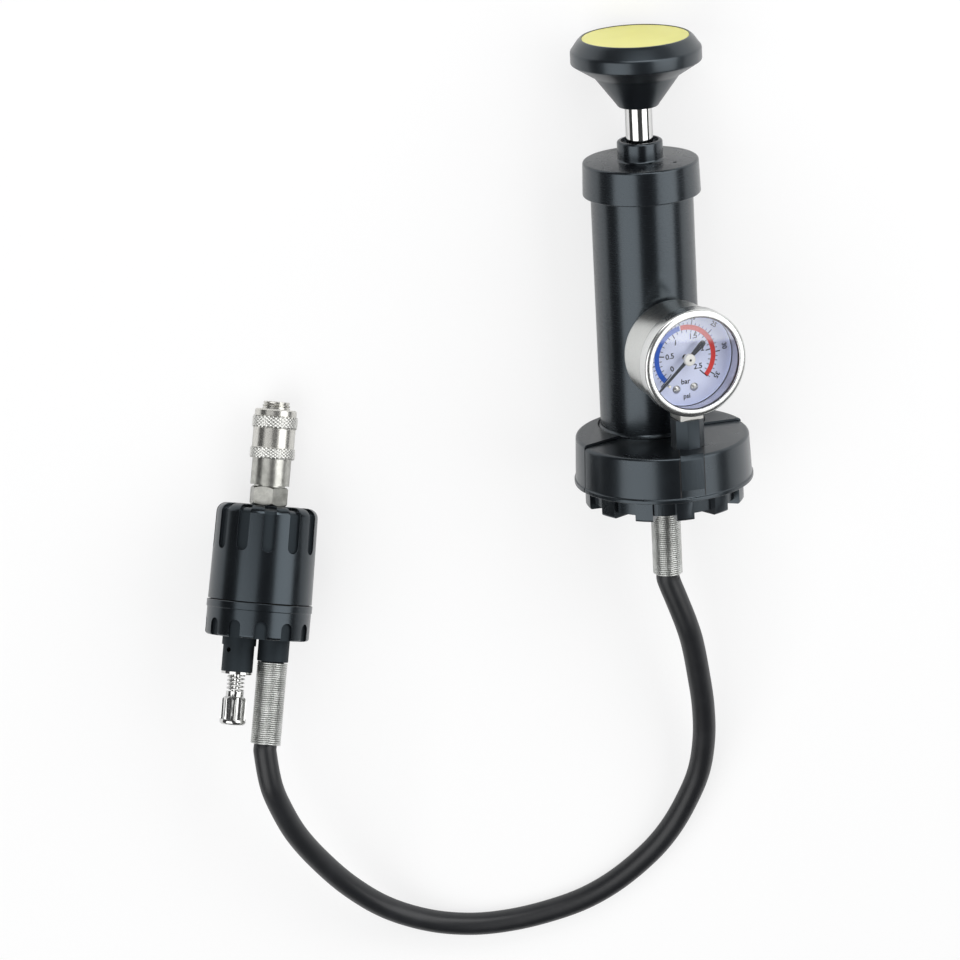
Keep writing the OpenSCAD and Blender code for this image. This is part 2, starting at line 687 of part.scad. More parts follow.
// The block inside the case that carries the movement and the dial
block_w = 13;
block_h = 6.6;
block_top = dial_z - dial_t - stem_at;
pin_turn = 4.6;
pin_at = 15.9 * [cos(needle_zero + pin_turn), sin(needle_zero + pin_turn), 0];
frame_z = 7.5;
frame_h = 7.4;
block_bottom = frame_z + 1 - stem_at;
sector_at = [0, -(sector_r + pinion_r + soft_gap), 0];

module dial_screws() color(steel) in_gauge() for (p = dial_screw_at) translate(p + [0, 0, dial_z])
    difference() {
        union() {
            intersection() {
                translate([0, 0, -1.4]) sphere(r = 2.6, $fn = 48);
                cylinder(r = 2, h = 2, $fn = 48);
            }
            translate([0, 0, -2.6]) cylinder(r = 1, h = 2.6 + e, $fn = 32);
        }
        translate([-3, -0.25, 0.7]) cube([6, 0.5, 2]);
    }

module stop_pin() color(steel) in_gauge() translate(pin_at + [0, 0, dial_z - dial_t])
    cylinder(r = 0.6, h = dial_t + 4.6, $fn = 24);

// The curved tube that straightens under pressure
module bourdon_tube() color(brass) in_gauge() translate([0, 0, frame_z + 3.6]) {
    rotate([0, 0, -69]) rotate_extrude(angle = 247) translate([case_in - 3.6, 0]) difference() {
        square([2, 6.4], center = true);
        square([1.2, 5.6], center = true);
    }
    rotate([0, 0, 178]) translate([case_in - 3.6, 0, 0]) cube([2, 1.2, 6.4], center = true);
}

module movement_frame() color(brass) in_gauge() difference() {
    union() {
        translate([-6, 3.5 - case_in, frame_z]) cube([12, case_in - 0.3, 1]);
        translate([-6, -13.5, frame_z + frame_h - 1]) cube([12, 16.7, 1]);
        for (x = [-4.6, 4.6], y = [-12.3, 1.6]) translate([x, y, frame_z + 0.5])
            cylinder(r = 1, h = frame_h - 1, $fn = 32);
    }
    translate([0, 0, frame_z - cut]) cylinder(r = 0.6 + run, h = 2 * frame_h, $fn = 32);
    translate(sector_at + [0, 0, frame_z - cut]) cylinder(r = 0.7 + run, h = 2 * frame_h, $fn = 32);
}

module sector_gear() color(brass) in_gauge() translate(sector_at) {
    half = needle_sweep * pinion_r / sector_r / 2;
    reach = half + 6;
    translate([0, 0, frame_z + 2.4]) {
        difference() {
            linear_extrude(1.6) intersection() {
                circle(r = sector_r);
                rotate(90 - half) polygon([[0, 0], [2 * sector_r, -2 * sector_r * tan(reach)],
                    [2 * sector_r, 2 * sector_r * tan(reach)]]);
            }
            rotate([0, 0, -half]) translate([-2.5, sector_r - 4.5, -cut]) cube([5, 2.4, 4]);
        }
        cylinder(r = 1.8, h = 1.6, $fn = 32);
    }
    translate([0, 0, frame_z + 0.1]) cylinder(r = 0.7, h = frame_h - 0.2, $fn = 32);
}

module needle() color([0.15, 0.16, 0.18]) in_gauge() {
    needle_z = dial_z + 3.6;
    translate([0, 0, frame_z + 0.1]) cylinder(r = 0.6, h = needle_z - frame_z, $fn = 32);
    translate([0, 0, frame_z + 1.6]) cylinder(r = pinion_r, h = 3.2, $fn = 48);
    translate([0, 0, needle_z]) rotate([0, 0, needle_zero]) linear_extrude(0.5)
        polygon([[0, -1], [needle_len - 3, -0.45], [needle_len, 0], [needle_len - 3, 0.45], [0, 1],
                 [-tail_len * 0.5, 0.9], [-tail_len + 1.2, 1.4], [-tail_len, 0.7], [-tail_len, -0.7],
                 [-tail_len + 1.2, -1.4], [-tail_len * 0.5, -0.9]]);
    translate([0, 0, needle_z - 0.6]) cylinder(r = 1.9, h = 0.6 + e, $fn = 48);
    translate([0, 0, needle_z + 0.5 - e])
        cylinder(r1 = hub_r, r2 = hub_r - 0.5, h = dial_z + hub_up - needle_z - 0.5, $fn = 64);
}

// ---- Hose ----

// Points of the hose between its two springs, chosen along the way it lies
hose_middle = [
    [97, -104, 41], [101.6, -116, 39], [105.2, -128, 35.5], [108.7, -146, 30], [111.6, -165, 24],
    [112.5, -184, 18.5], [110.4, -203.2, 13.5], [104.5, -220.4, 10], [96.4, -236.4, 7.5], [86, -250, 6.2],
    [69.8, -264.7, 5.7], [53.8, -274.6, 5.7], [36, -281.5, 5.7], [16, -286.6, 5.7], [-4, -288.5, 6.2],
    [-25, -285.5, 9], [-46.4, -276.3, 15], [-64.5, -261.4, 24], [-79.5, -243.3, 34.5], [-91, -225.2, 44.5],
    [-98.8, -207, 52.5], [-102.6, -194.5, 56.5]
];
hose_start = -fitting_h;
pump_guard_z = hose_start - 0.1 - pump_guard_len;
head_guard_z = boss_z - 0.1 - head_guard_len;

// Directions of the two axes and points on them, as in_pump() and in_head() lay them down
function along_y(heading, rise) =
    [-sin(heading) * cos(rise), cos(heading) * cos(rise), sin(rise)];
pump_axis = along_y(pump_heading, pump_lean);
head_axis = along_y(head_heading, -head_dip);
head_side = [cos(head_heading), sin(head_heading), 0];
function on_pump(z) = [pump_x, pump_y, pump_z] + z * pump_axis;
function on_hose_port(z) = [head_x, head_y, head_z] + hose_port_x * head_side + z * head_axis;

hose_route = concat(
    [for (z = [hose_start, hose_start - pump_guard_len / 3, hose_start - 2 * pump_guard_len / 3,
        pump_guard_z, pump_guard_z - 3]) on_pump(z)],
    hose_middle,
    [for (z = [head_guard_z - 3, head_guard_z, boss_z - 2 * head_guard_len / 3,
        boss_z - head_guard_len / 3, boss_z]) on_hose_port(z)]);

// A smooth curve through the route, two steps to a stretch
function smooth(p, i, t) =
    let (a = p[max(i - 1, 0)], b = p[i], c = p[i + 1], d = p[min(i + 2, len(p) - 1)],
         u = norm(c - b), m = u * (c - a) / max(norm(b - a) + u, e),
         n = u * (d - b) / max(u + norm(d - c), e))
    (2 * t * t * t - 3 * t * t + 1) * b + (t * t * t - 2 * t * t + t) * m
    + (3 * t * t - 2 * t * t * t) * c + (t * t * t - t * t) * n;

hose_line = concat(
    [for (i = [0 : len(hose_route) - 2], t = [0, 0.5]) smooth(hose_route, i, t)],
    [hose_route[len(hose_route) - 1]]);

function hose_dir(i) = let (n = len(hose_line) - 1)
    i == 0 ? -pump_axis : i == n ? head_axis
    : let (d = hose_line[i + 1] - hose_line[i - 1]) d / norm(d);

function hose_ring(i, sides) =
    let (d = hose_dir(i), s = cross(d, [0, 0, 1]), side = s / norm(s), up = cross(side, d))
    [for (k = [0 : sides - 1]) let (a = 360 * (k + 0.5) / sides)
        hose_line[i] + hose_d / 2 * (cos(a) * side + sin(a) * up)];

module hose() color(rubber)
    tube_through([for (i = [0 : len(hose_line) - 1]) hose_ring(i, 10)], 10);

module pump_hose_guard() color(steel) in_pump() translate([0, 0, pump_guard_z + guard_wire / 2])
    coil(pump_guard_r, guard_pitch, guard_wire, (pump_guard_len - guard_wire) / guard_pitch);

module head_hose_guard() color(steel) in_head()
    translate([hose_port_x, 0, head_guard_z + guard_wire / 2])
    coil(head_guard_r, guard_pitch, guard_wire, (head_guard_len - guard_wire) / guard_pitch);

module hose_fitting() color(brass) in_pump() difference() {
    union() {
        translate([0, 0, hose_start]) cylinder(r = pump_guard_r + guard_wire / 2, h = 3);
        translate([0, 0, hose_start + 3 - e]) cylinder(r = 8, h = fitting_h - 3 + plate_z + e, $fn = 6);
        translate([0, 0, plate_z - e]) cylinder(r = fitting_r, h = 4.9);
    }
    translate([0, 0, hose_start + 1]) cylinder(r = 2, h = 20, $fn = 32);
}

// ---- Valve head ----

function shell_profile(inset) = concat(
    [[0, -shell_h], [shell_r + shell_draft - inset, -shell_h]],
    arc([shell_r - shoulder, -shoulder], shoulder - inset, 0, 90, 8), [[0, -inset]]);

module valve_shell() color(black) in_head() difference() {
    rotate_extrude() polygon(shell_profile(0));
    difference() {
        for (i = [0 : flute_count - 1]) rotate([0, 0, 360 * i / flute_count - 90 + flute_turn]) {
            translate([shell_r - 8, -flute_w / 2, flute_w / 2 - flute_len])
                cube([12, flute_w, flute_len]);
            translate([shell_r - 8, 0, flute_w / 2 - flute_len]) rotate([0, 90, 0])
                cylinder(d = flute_w, h = 12, $fn = 32);
        }
        rotate_extrude() polygon(shell_profile(flute_deep));
    }
    translate([0, 0, -shell_h - cut])
        cylinder(r = shell_r - shell_wall, h = shell_h - shoulder - 0.5 + cut);
    translate([0, 0, -shell_h]) cylinder(r = tail_r + seat, h = 2 * shell_h);
}

module lower_ring() color(black) in_head() difference() {
    low_r = shell_r + shell_draft;
    translate([0, 0, head_bottom]) rotate_extrude() polygon(concat(
        [[0, 0]], arc([low_r - 1.4, 1.4], 1.4, -90, 0, 4),
        [[low_r, lower_h - band_h - 0.3], [band_r, lower_h - band_h], [band_r, lower_h - 0.3],
         [band_r - 0.3, lower_h], [0, lower_h]]));
    for (i = [0 : flute_count - 1]) rotate([0, 0, 360 * i / flute_count - 90 + flute_turn]) {
        translate([low_r - notch_deep, -notch_w / 2, head_bottom - cut])
            cube([4, notch_w, notch_h - notch_w / 2 + cut]);
        translate([low_r - notch_deep, 0, head_bottom + notch_h - notch_w / 2]) rotate([0, 90, 0])
            cylinder(d = notch_w, h = 4, $fn = 32);
    }
    translate([0, 0, head_bottom + 3.4]) cylinder(r = shell_r - shell_wall - 0.4, h = lower_h);
    for (x = [hose_port_x, -release_x]) translate([x, 0, head_bottom - cut])
        cylinder(r = port_r + seat, h = 6);
}

core_top = -shoulder - 0.5 - seat;
core_bottom = head_bottom + 3.4;
gallery_z = 12 - shell_h;

module valve_core() color(brass) in_head() difference() {
    translate([0, 0, core_bottom]) cylinder(r = core_r, h = core_top - core_bottom);
    translate([0, 0, core_top - tail_h]) cylinder(r = tail_r + seat, h = 2 * tail_h);
    translate([0, 0, gallery_z]) cylinder(r = 2, h = -gallery_z, $fn = 32);
    for (x = [hose_port_x, -release_x]) translate([x, 0, core_bottom])
        cylinder(r = 2, h = gallery_z - core_bottom, $fn = 32);
    translate([hose_port_x, 0, core_bottom - cut]) cylinder(r = port_r + seat, h = 4 + cut);
    translate([-release_x, 0, core_bottom - cut]) cylinder(r = port_r + seat, h = 12 + cut);
    translate([-release_x - 2, 0, gallery_z]) rotate([0, 90, 0])
        cylinder(r = 2, h = release_x + hose_port_x + 4, $fn = 32);
}

module hose_boss() color(black) in_head() translate([hose_port_x, 0, 0]) difference() {
    union() {
        translate([0, 0, boss_z]) cylinder(r = boss_r, h = boss_h);
        translate([0, 0, head_bottom - e]) cylinder(r = port_r, h = 3.4 + 3.8);
    }
    translate([0, 0, boss_z + 2]) cylinder(r = 2, h = 2 * boss_h, $fn = 32);
}

module release_bush() color(black) in_head() translate([-release_x, 0, 0]) difference() {
    union() {
        translate([0, 0, flange_z]) cylinder(r = flange_r, h = flange_h);
        translate([0, 0, rbush_z]) cylinder(r = rbush_r, h = rbush_h + e);
        translate([0, 0, head_bottom - e]) cylinder(r = port_r, h = 5.4);
    }
    translate([0, 0, rbush_z - cut])
        cylinder(r = rstem_r + run, h = 2 * (rbush_h + flange_h), $fn = 48);
    rotate([0, 0, -38]) translate([0, 0, flange_z - 2.4]) rotate([90, 0, 0])
        cylinder(d = vent_d, h = 2 * rbush_r, $fn = 32);
}

module release_washer() color(steel) in_head() translate([-release_x, 0, washer_z])
    ring(rbush_r - 0.2, rstem_r + run, washer_h);

module release_spring() color(steel) in_head()
    translate([-release_x, 0, rknob_z + guard_wire / 2 + 0.05])
    coil(3.9, (release_gap - guard_wire - 0.1) / 4, guard_wire, 4);

module release_knob() color(steel) in_head() translate([-release_x, 0, rknob_z]) {
    translate([0, 0, -rknob_h]) difference() {
        rotate_extrude() polygon(concat(
            [[0, 0]], arc([rknob_r - 1.6, 1.6], 1.6, -90, 0, 4),
            [[rknob_r - 0.5, 5], [rknob_r - 0.5, rknob_h - 4.2], [rknob_r - 1.4, rknob_h - 3],
             [4.4, rknob_h - 2.6], [4.4, rknob_h], [0, rknob_h]]));
        for (i = [0 : groove_count - 1]) rotate([0, 0, 360 * (i + 0.5) / groove_count])
            translate([rknob_r + 0.6, 0, 2.6]) cylinder(r = 2.2, h = rknob_h, $fn = 32);
    }
    translate([0, 0, -e]) cylinder(r = rstem_r, h = core_bottom + 4.5 - rknob_z, $fn = 48);
}

module release_seal() color(rubber) in_head()
    translate([-release_x, 0, head_bottom + 5.4 + seat])
    ring(port_r, rstem_r + 0.02, 2.2);

// ---- Quick coupler ----

socket_z = nozzle_top - socket_deep;
poppet_top = socket_z - 2;
poppet_h = 5.5;
chamber_z = poppet_top - poppet_h - poppet_travel - spring_room;
tube_top = sleeve_top - 0.7;
tube_z = sleeve_z + grip_low_h;
lip_z = sleeve_top - 4.7;
ball_z = sleeve_top - 2.8;
ball_at = ctube_r - ball_r;
ball_turn = 22;

module ball_holes() for (i = [0 : ball_count - 1]) rotate([0, 0, 360 * i / ball_count + ball_turn])
    translate([socket_r - 1, 0, ball_z]) rotate([0, 90, 0])
        cylinder(r = ball_r + seat, h = ctube_r, $fn = 32);

module coupler_body() color(steel) in_head() difference() {
    union() {
        intersection() {
            rotate([0, 0, -78]) cylinder(r = hex_af / 2 / cos(30), h = hex_h, $fn = 6);
            rotate_extrude() polygon([[0, 0], [hex_af / 2 - 0.2, 0], [hex_af / 2 + 2, 1.6],
                [hex_af / 2 + 2, hex_h - 1.4], [hex_af / 2 - 0.1, hex_h], [0, hex_h]]);
        }
        translate([0, 0, -tail_h]) cylinder(r = tail_r, h = tail_h + e);
        translate([0, 0, hex_h - e]) cylinder(r = hex_af / 2 - 0.8, h = 1);
        translate([0, 0, hex_h + 0.8]) cylinder(r = cbody_r, h = tube_z - hex_h - 0.8);
        translate([0, 0, tube_z - e]) cylinder(r = ctube_r, h = tube_top - tube_z + e);
    }
    translate([0, 0, -tail_h - cut]) cylinder(r = 2.2, h = tail_h + chamber_z + 2 * cut, $fn = 32);
    translate([0, 0, chamber_z]) cylinder(r = chamber_r, h = nozzle_top);
    translate([0, 0, poppet_top + seat]) cylinder(r = nozzle_r + seat, h = nozzle_top);
    ball_holes();
}

module coupler_nozzle() color(steel) in_head() difference() {
    union() {
        translate([0, 0, poppet_top + seat]) cylinder(r = nozzle_r, h = nozzle_top - poppet_top - 3);
        translate([0, 0, nozzle_top - 3.2]) rotate_extrude() polygon([
            [0, 0], [nozzle_r - 0.5, 0], [nozzle_r - 0.5, 0.6], [nozzle_r, 1], [nozzle_r, 1.5],
            [nozzle_r - 0.8, 1.8], [nozzle_r - 0.8, 2.1], [nozzle_r - 0.3, 2.3],
            [nozzle_r - 0.3, 2.9], [nozzle_r - 0.6, 3.2], [0, 3.2]]);
    }
    translate([0, 0, poppet_top - cut]) cylinder(r = 3.6, h = nozzle_top, $fn = 48);
    translate([0, 0, socket_z]) cylinder(r = socket_r, h = nozzle_top);
    ball_holes();
}

module coupler_sleeve() color(steel) in_head() difference() {
    rotate_extrude() polygon([
        [0, sleeve_z], [grip_r - 0.4, sleeve_z], [grip_r - 0.1, sleeve_z + 0.3],
        [grip_r - 0.1, grip_low_z - 0.3], [sleeve_r, grip_low_z],
        [sleeve_r, grip_high_z], [grip_r, grip_high_z + 0.3], [grip_r, collar_z],
        [sleeve_r - 0.1, collar_z], [sleeve_r - 0.1, sleeve_top - 0.6], [sleeve_r - 0.7, sleeve_top],
        [0, sleeve_top]]);
    translate([0, 0, sleeve_z - cut]) cylinder(r = cbody_r + run, h = lip_z - sleeve_z + cut);
    translate([0, 0, sleeve_z]) cylinder(r = ctube_r + run, h = sleeve_top);
}

module sleeve_spring() color(steel) in_head() {
    room = lip_z - tube_z;
    wire = min(0.7, (cbody_r - ctube_r) / 2);
    translate([0, 0, tube_z + 0.45])
        coil(cbody_r + run - wire / 2 - seat, (room - 0.9) / 4, wire, 4, 12);
}

module locking_balls() color(steel) in_head() for (i = [0 : ball_count - 1])
    rotate([0, 0, 360 * i / ball_count + ball_turn]) translate([ball_at, 0, ball_z])
        sphere(r = ball_r, $fn = 48);

module coupler_valve() color(brass) in_head() difference() {
    union() {
        translate([0, 0, poppet_top - poppet_h]) cylinder(r = chamber_r - run, h = poppet_h);
        translate([0, 0, poppet_top - e]) cylinder(r = 2.6, h = 1.9, $fn = 48);
    }
    translate([0, 0, poppet_top - poppet_h - cut]) cylinder(r = 3.4, h = 3 + cut, $fn = 48);
    for (a = [0, 120, 240]) rotate([0, 0, a]) translate([3.9, 0, poppet_top - poppet_h - cut])
        cylinder(r = 0.6, h = poppet_h + 2 * cut, $fn = 24);
}

module coupler_valve_spring() color(steel) in_head()
    translate([0, 0, chamber_z + 0.5])
        coil(chamber_r - 0.6, (spring_room - 1 + poppet_travel) / 4, 0.8, 4);

pump_base();
front_cover();
port_plate();
lock_ring();
base_screws();
barrel();
check_valve();
barrel_cap();
rod_bush();
plunger_rod();
piston();
piston_seal();
piston_nut();
knob();
knob_disc();
gauge_post();
gauge_stem();
gauge_case();
gauge_bezel();
gauge_lens();
dial_ring();
gauge_dial();
dial_screws();
stop_pin();
bourdon_tube();
movement_frame();
sector_gear();
needle();
hose_fitting();
pump_hose_guard();
hose();
head_hose_guard();
hose_boss();
valve_shell();
lower_ring();
valve_core();
release_bush();
release_washer();
release_spring();
release_knob();
release_seal();
coupler_body();
coupler_nozzle();
coupler_sleeve();
sleeve_spring();
locking_balls();
coupler_valve();
coupler_valve_spring();

echo(pump_guard_gap = coil_gap(pump_guard_r, guard_pitch, guard_wire));
echo(head_guard_gap = coil_gap(head_guard_r, guard_pitch, guard_wire));
echo(release_spring_gap = coil_gap(3.9, (release_gap - guard_wire - 0.1) / 4, guard_wire));
echo(pump_lean = pump_lean, head_dip = head_dip, pump_z = pump_z, head_z = head_z);
echo(hose_length = ceil([for (i = 0, l = 0; i < len(hose_line);
    l = l + (i + 1 < len(hose_line) ? norm(hose_line[i + 1] - hose_line[i]) : 0), i = i + 1) l]
    [len(hose_line) - 1]));
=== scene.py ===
"""A cooling system pressure tester that lies on a pale surface: a black hand pump with a dial
gauge, a rubber hose and a fluted valve head with a quick coupler and a press release valve."""

import json
import math

import bmesh
import bpy
import numpy as np
from mathutils import Matrix, Vector


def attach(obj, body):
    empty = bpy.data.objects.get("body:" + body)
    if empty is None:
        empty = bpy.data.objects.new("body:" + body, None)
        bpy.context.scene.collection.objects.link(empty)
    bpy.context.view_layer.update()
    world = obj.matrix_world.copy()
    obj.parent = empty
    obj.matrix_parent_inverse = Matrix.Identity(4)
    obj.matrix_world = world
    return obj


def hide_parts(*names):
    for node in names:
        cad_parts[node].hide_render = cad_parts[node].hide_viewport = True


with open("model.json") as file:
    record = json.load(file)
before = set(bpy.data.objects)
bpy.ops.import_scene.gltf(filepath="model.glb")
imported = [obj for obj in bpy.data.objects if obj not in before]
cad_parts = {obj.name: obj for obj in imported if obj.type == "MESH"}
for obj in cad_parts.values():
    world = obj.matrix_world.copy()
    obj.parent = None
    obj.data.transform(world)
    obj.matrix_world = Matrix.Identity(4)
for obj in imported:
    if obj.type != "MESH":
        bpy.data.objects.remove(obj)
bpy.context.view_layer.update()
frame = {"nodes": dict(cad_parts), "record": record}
scene = bpy.context.scene
scene.view_settings.view_transform = "Standard"
nodes = frame["nodes"]
body_of = {name: body for body, names in frame["record"]["behaviour"]["bodies"].items()
           for name in names}

# ---- Camera ----
# The photograph looks down on the tester from over its knob end, about 16 degrees off the
# surface's upright, from far away, so that the long pump hardly narrows.

camera_lean = math.radians(16.2)
camera_distance = 2.283
camera_target = Vector((0.0005, -0.055, 0.0))
camera = bpy.data.objects.new("camera", bpy.data.cameras.new("camera"))
scene.collection.objects.link(camera)
camera.data.sensor_width = 36
camera.data.lens = 172.5
camera.data.clip_end = 20
camera.rotation_euler = (-camera_lean, 0, 0)
camera.location = camera_target + camera_distance * Vector(
    (0, math.sin(camera_lean), math.cos(camera_lean)))
scene.camera = camera

# ---- Hose ----
# A black rubber hose between the pump and the valve head. It comes straight out of each
# fitting, drops to the surface and lies there in one loose bend.


def turn(degrees, axis):
    return Matrix.Rotation(math.radians(degrees), 4, axis)


# Places of the pump and of the valve head: Z along each one's own axis, -Y up, in millimetres.
PUMP = (Matrix.Translation((0.09, -0.0409, 0.0434869)) @ turn(2.94, "Z")
        @ turn(1.40748 - 90, "X") @ Matrix.Scale(0.001, 4))
HEAD = (Matrix.Translation((-0.1038, -0.0614, 0.022886)) @ turn(-5.05, "Z")
        @ turn(-16.0476 - 90, "X") @ Matrix.Scale(0.001, 4))
BARREL = PUMP @ Matrix.Translation((-4.6, 17, 0))
hose_radius = 0.0057
pump_outlet = [PUMP @ Vector((0, 0, z)) for z in (-6, -20.333, -34.667, -49.1, -52.1)]
head_outlet = [HEAD @ Vector((8.7, 0, z)) for z in (-120.4, -117.4, -103.633, -89.967, -76.3)]
hose_middle = [
    (97, -104, 41), (101.6, -116, 39), (105.2, -128, 35.5), (108.7, -146, 30),
    (111.6, -165, 24), (112.5, -184, 18.5), (110.4, -203.2, 13.5), (104.5, -220.4, 10),
    (96.4, -236.4, 7.5), (86, -250, 6.2), (69.8, -264.7, 5.7), (53.8, -274.6, 5.7),
    (36, -281.5, 5.7), (16, -286.6, 5.7), (-4, -288.5, 6.2), (-25, -285.5, 9),
    (-46.4, -276.3, 15), (-64.5, -261.4, 24), (-79.5, -243.3, 34.5), (-91, -225.2, 44.5),
    (-98.8, -207, 52.5), (-102.6, -194.5, 56.5)]
hose_points = pump_outlet + [Vector(p) / 1000 for p in hose_middle] + head_outlet


def smooth_line(points, steps):
    """A smooth curve through the points, with the same number of steps between each two."""
    p = [np.array(q, float) for q in points]
    out = []
    for i in range(len(p) - 1):
        a, b, c, d = p[max(i - 1, 0)], p[i], p[i + 1], p[min(i + 2, len(p) - 1)]
        u = np.linalg.norm(c - b)
        m = u * (c - a) / max(np.linalg.norm(b - a) + u, 1e-5)
        n = u * (d - b) / max(u + np.linalg.norm(d - c), 1e-5)
        for k in range(steps):
            t = k / steps
            out.append((2 * t**3 - 3 * t * t + 1) * b + (t**3 - 2 * t * t + t) * m
                       + (3 * t * t - 2 * t**3) * c + (t**3 - t * t) * n)
    return np.array(out + [p[-1]])


def mesh_piece(name, points, faces, smooth=True, place=None):
    """A new piece from points and faces; with a place, its points are in millimetres there."""
    mesh = bpy.data.meshes.new(name)
    mesh.from_pydata([tuple(p) for p in points], [], [tuple(f) for f in faces])
    if place is not None:
        mesh.transform(place)
    mesh.polygons.foreach_set("use_smooth", [smooth] * len(mesh.polygons))
    mesh.update()
    piece = bpy.data.objects.new(name, mesh)
    scene.collection.objects.link(piece)
    return piece


def tube(name, line, radius, sides):
    """A closed tube along a line of points."""
    along = np.gradient(line, axis=0)
    along /= np.linalg.norm(along, axis=1)[:, None]
    up = np.array((0.0, 0.0, 1.0))
    points = []
    for p, d in zip(line, along):
        side = np.cross(d, up)
        side /= np.linalg.norm(side)
        top = np.cross(side, d)
        for k in range(sides):
            a = 2 * math.pi * (k + 0.5) / sides
            points.append(p + radius * (math.cos(a) * side + math.sin(a) * top))
    faces = [tuple(range(sides)), tuple(len(points) - 1 - k for k in range(sides))]
    for i in range(len(line) - 1):
        for k in range(sides):
            a, b = i * sides + k, i * sides + (k + 1) % sides
            faces.append((a, a + sides, b + sides, b))
    return mesh_piece(name, points, faces)


class Wire:
    """A socket of a node tree. Sums and products of these add Math nodes to the tree."""

    def __init__(self, tree, socket=None):
        self.tree, self.socket = tree, socket

    def add(self, kind, settings={}, inputs={}, out=0):
        """Any other node: its settings first, then a value or a wire for each socket."""
        node = self.tree.nodes.new(kind)
        for name, value in settings.items():
            setattr(node, name, value)
        for name, value in inputs.items():
            if isinstance(value, Wire):
                self.tree.links.new(value.socket, node.inputs[name])
            else:
                node.inputs[name].default_value = value
        return Wire(self.tree, node.outputs[out]) if len(node.outputs) else node

    def math(self, operation, *values):
        return self.add("ShaderNodeMath", {"operation": operation}, dict(enumerate(values)))

    def __add__(self, other): return self.math("ADD", self, other)
    def __radd__(self, other): return self.math("ADD", other, self)
    def __sub__(self, other): return self.math("SUBTRACT", self, other)
    def __rsub__(self, other): return self.math("SUBTRACT", other, self)
    def __mul__(self, other): return self.math("MULTIPLY", self, other)
    def __rmul__(self, other): return self.math("MULTIPLY", other, self)
    def __truediv__(self, other): return self.math("DIVIDE", self, other)

    def step(self, low, high):
        """0 below low and 1 above high, with a smooth way between."""
        return self.add("ShaderNodeMapRange", {"interpolation_type": "SMOOTHSTEP"},
                        {0: self, 1: low, 2: high, 3: 0.0, 4: 1.0})

    def noise(self, where, scale, detail=3.0, rough=0.5):
        return self.add("ShaderNodeTexNoise", {}, {
            "Vector": where, "Scale": scale, "Detail": detail, "Roughness": rough})

    def blend(self, share, first, second):
        """One colour over another, by a share from 0 to 1."""
        return self.add("ShaderNodeMix", {"data_type": "RGBA"},
                        {0: share, 6: first, 7: second}, 2)

    def stretched(self, where, turned, scale):
        """Coordinates turned by degrees about X, Y and Z and then drawn out."""
        return self.add("ShaderNodeMapping", {}, {
            "Vector": where, "Rotation": [math.radians(a) for a in turned], "Scale": scale})


def finish(name, metallic=0.0, coat=0.0, coat_rough=0.1):
    """A new material: its first wire, its shader and the Object coordinates."""
    material = bpy.data.materials.new(name)
    material.use_nodes = True
    tree = material.node_tree
    shader = tree.nodes["Principled BSDF"]
    shader.inputs["Metallic"].default_value = metallic
    shader.inputs["Coat Weight"].default_value = coat
    shader.inputs["Coat Roughness"].default_value = coat_rough
    wire = Wire(tree)
    return material, wire, shader, wire.add("ShaderNodeTexCoord", {}, {}, "Object")


def feed(wire, shader, colour=None, rough=None, height=None, depth=0.0001, strength=1.0, **more):
    """Links colour, roughness and a bump to a shader, or sets them where they are plain."""
    for name, value in {"Base Color": colour, "Roughness": rough, **more}.items():
        if isinstance(value, Wire):
            wire.tree.links.new(value.socket, shader.inputs[name])
        elif value is not None:
            shader.inputs[name].default_value = value
    if height is not None:
        bump = wire.add("ShaderNodeBump", {}, {
            "Strength": strength, "Distance": depth, "Height": height})
        wire.tree.links.new(bump.socket, shader.inputs["Normal"])


def dress(material, *names):
    """Gives a material to CAD nodes or to new pieces."""
    for name in names:
        mesh = (nodes[name] if isinstance(name, str) else name).data
        mesh.materials.clear()
        mesh.materials.append(material)


# The rubber is nearly black, with a dull skin, faint lines along it and a little dust.
hose_rubber, w, shader, here = finish("hose_rubber", coat=0.12, coat_rough=0.35)
skin = w.noise(here, 900.0, 4.0, 0.6)
smear = w.noise(here, 45.0, 3.0, 0.55)
feed(w, shader, w.blend(smear.step(0.45, 0.75), (0.009, 0.010, 0.012, 1), (0.016, 0.017, 0.02, 1)),
     0.36 + 0.14 * smear, skin, 0.00005, 0.5)

hose_line = smooth_line(hose_points, 8)
hose = tube("rubber_hose", hose_line, hose_radius, 32)
dress(hose_rubber, hose)
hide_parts("hose")
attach(hose, "housing")

# ---- Springs over the hose ends ----
# Each is one close-wound zinc wire, pushed over the hose to keep it from kinking where it
# leaves its fitting. Its last turn ends in a plain cut of the wire.


def sized_tree(name, sizes):
    """A Geometry Nodes tree with a named input for each size, and its group input."""
    tree = bpy.data.node_groups.new(name, "GeometryNodeTree")
    tree.interface.new_socket("Geometry", in_out="OUTPUT", socket_type="NodeSocketGeometry")
    for label, kind in sizes.items():
        tree.interface.new_socket(label, in_out="INPUT", socket_type="NodeSocket" + kind)
    wire = Wire(tree)
    given = tree.nodes.new("NodeGroupInput")
    return tree, wire, {label: Wire(tree, given.outputs[label]) for label in sizes}


def close_tree(wire, shape, material, smooth=True):
    """Ends a tree: real faces, smooth shading and the material."""
    shape = wire.add("GeometryNodeRealizeInstances", {}, {0: shape})
    shape = wire.add("GeometryNodeSetShadeSmooth", {}, {0: shape, "Shade Smooth": smooth})
    shape = wire.add("GeometryNodeSetMaterial", {}, {0: shape, "Material": material})
    end = wire.tree.nodes.new("NodeGroupOutput")
    wire.tree.links.new(shape.socket, end.inputs[0])


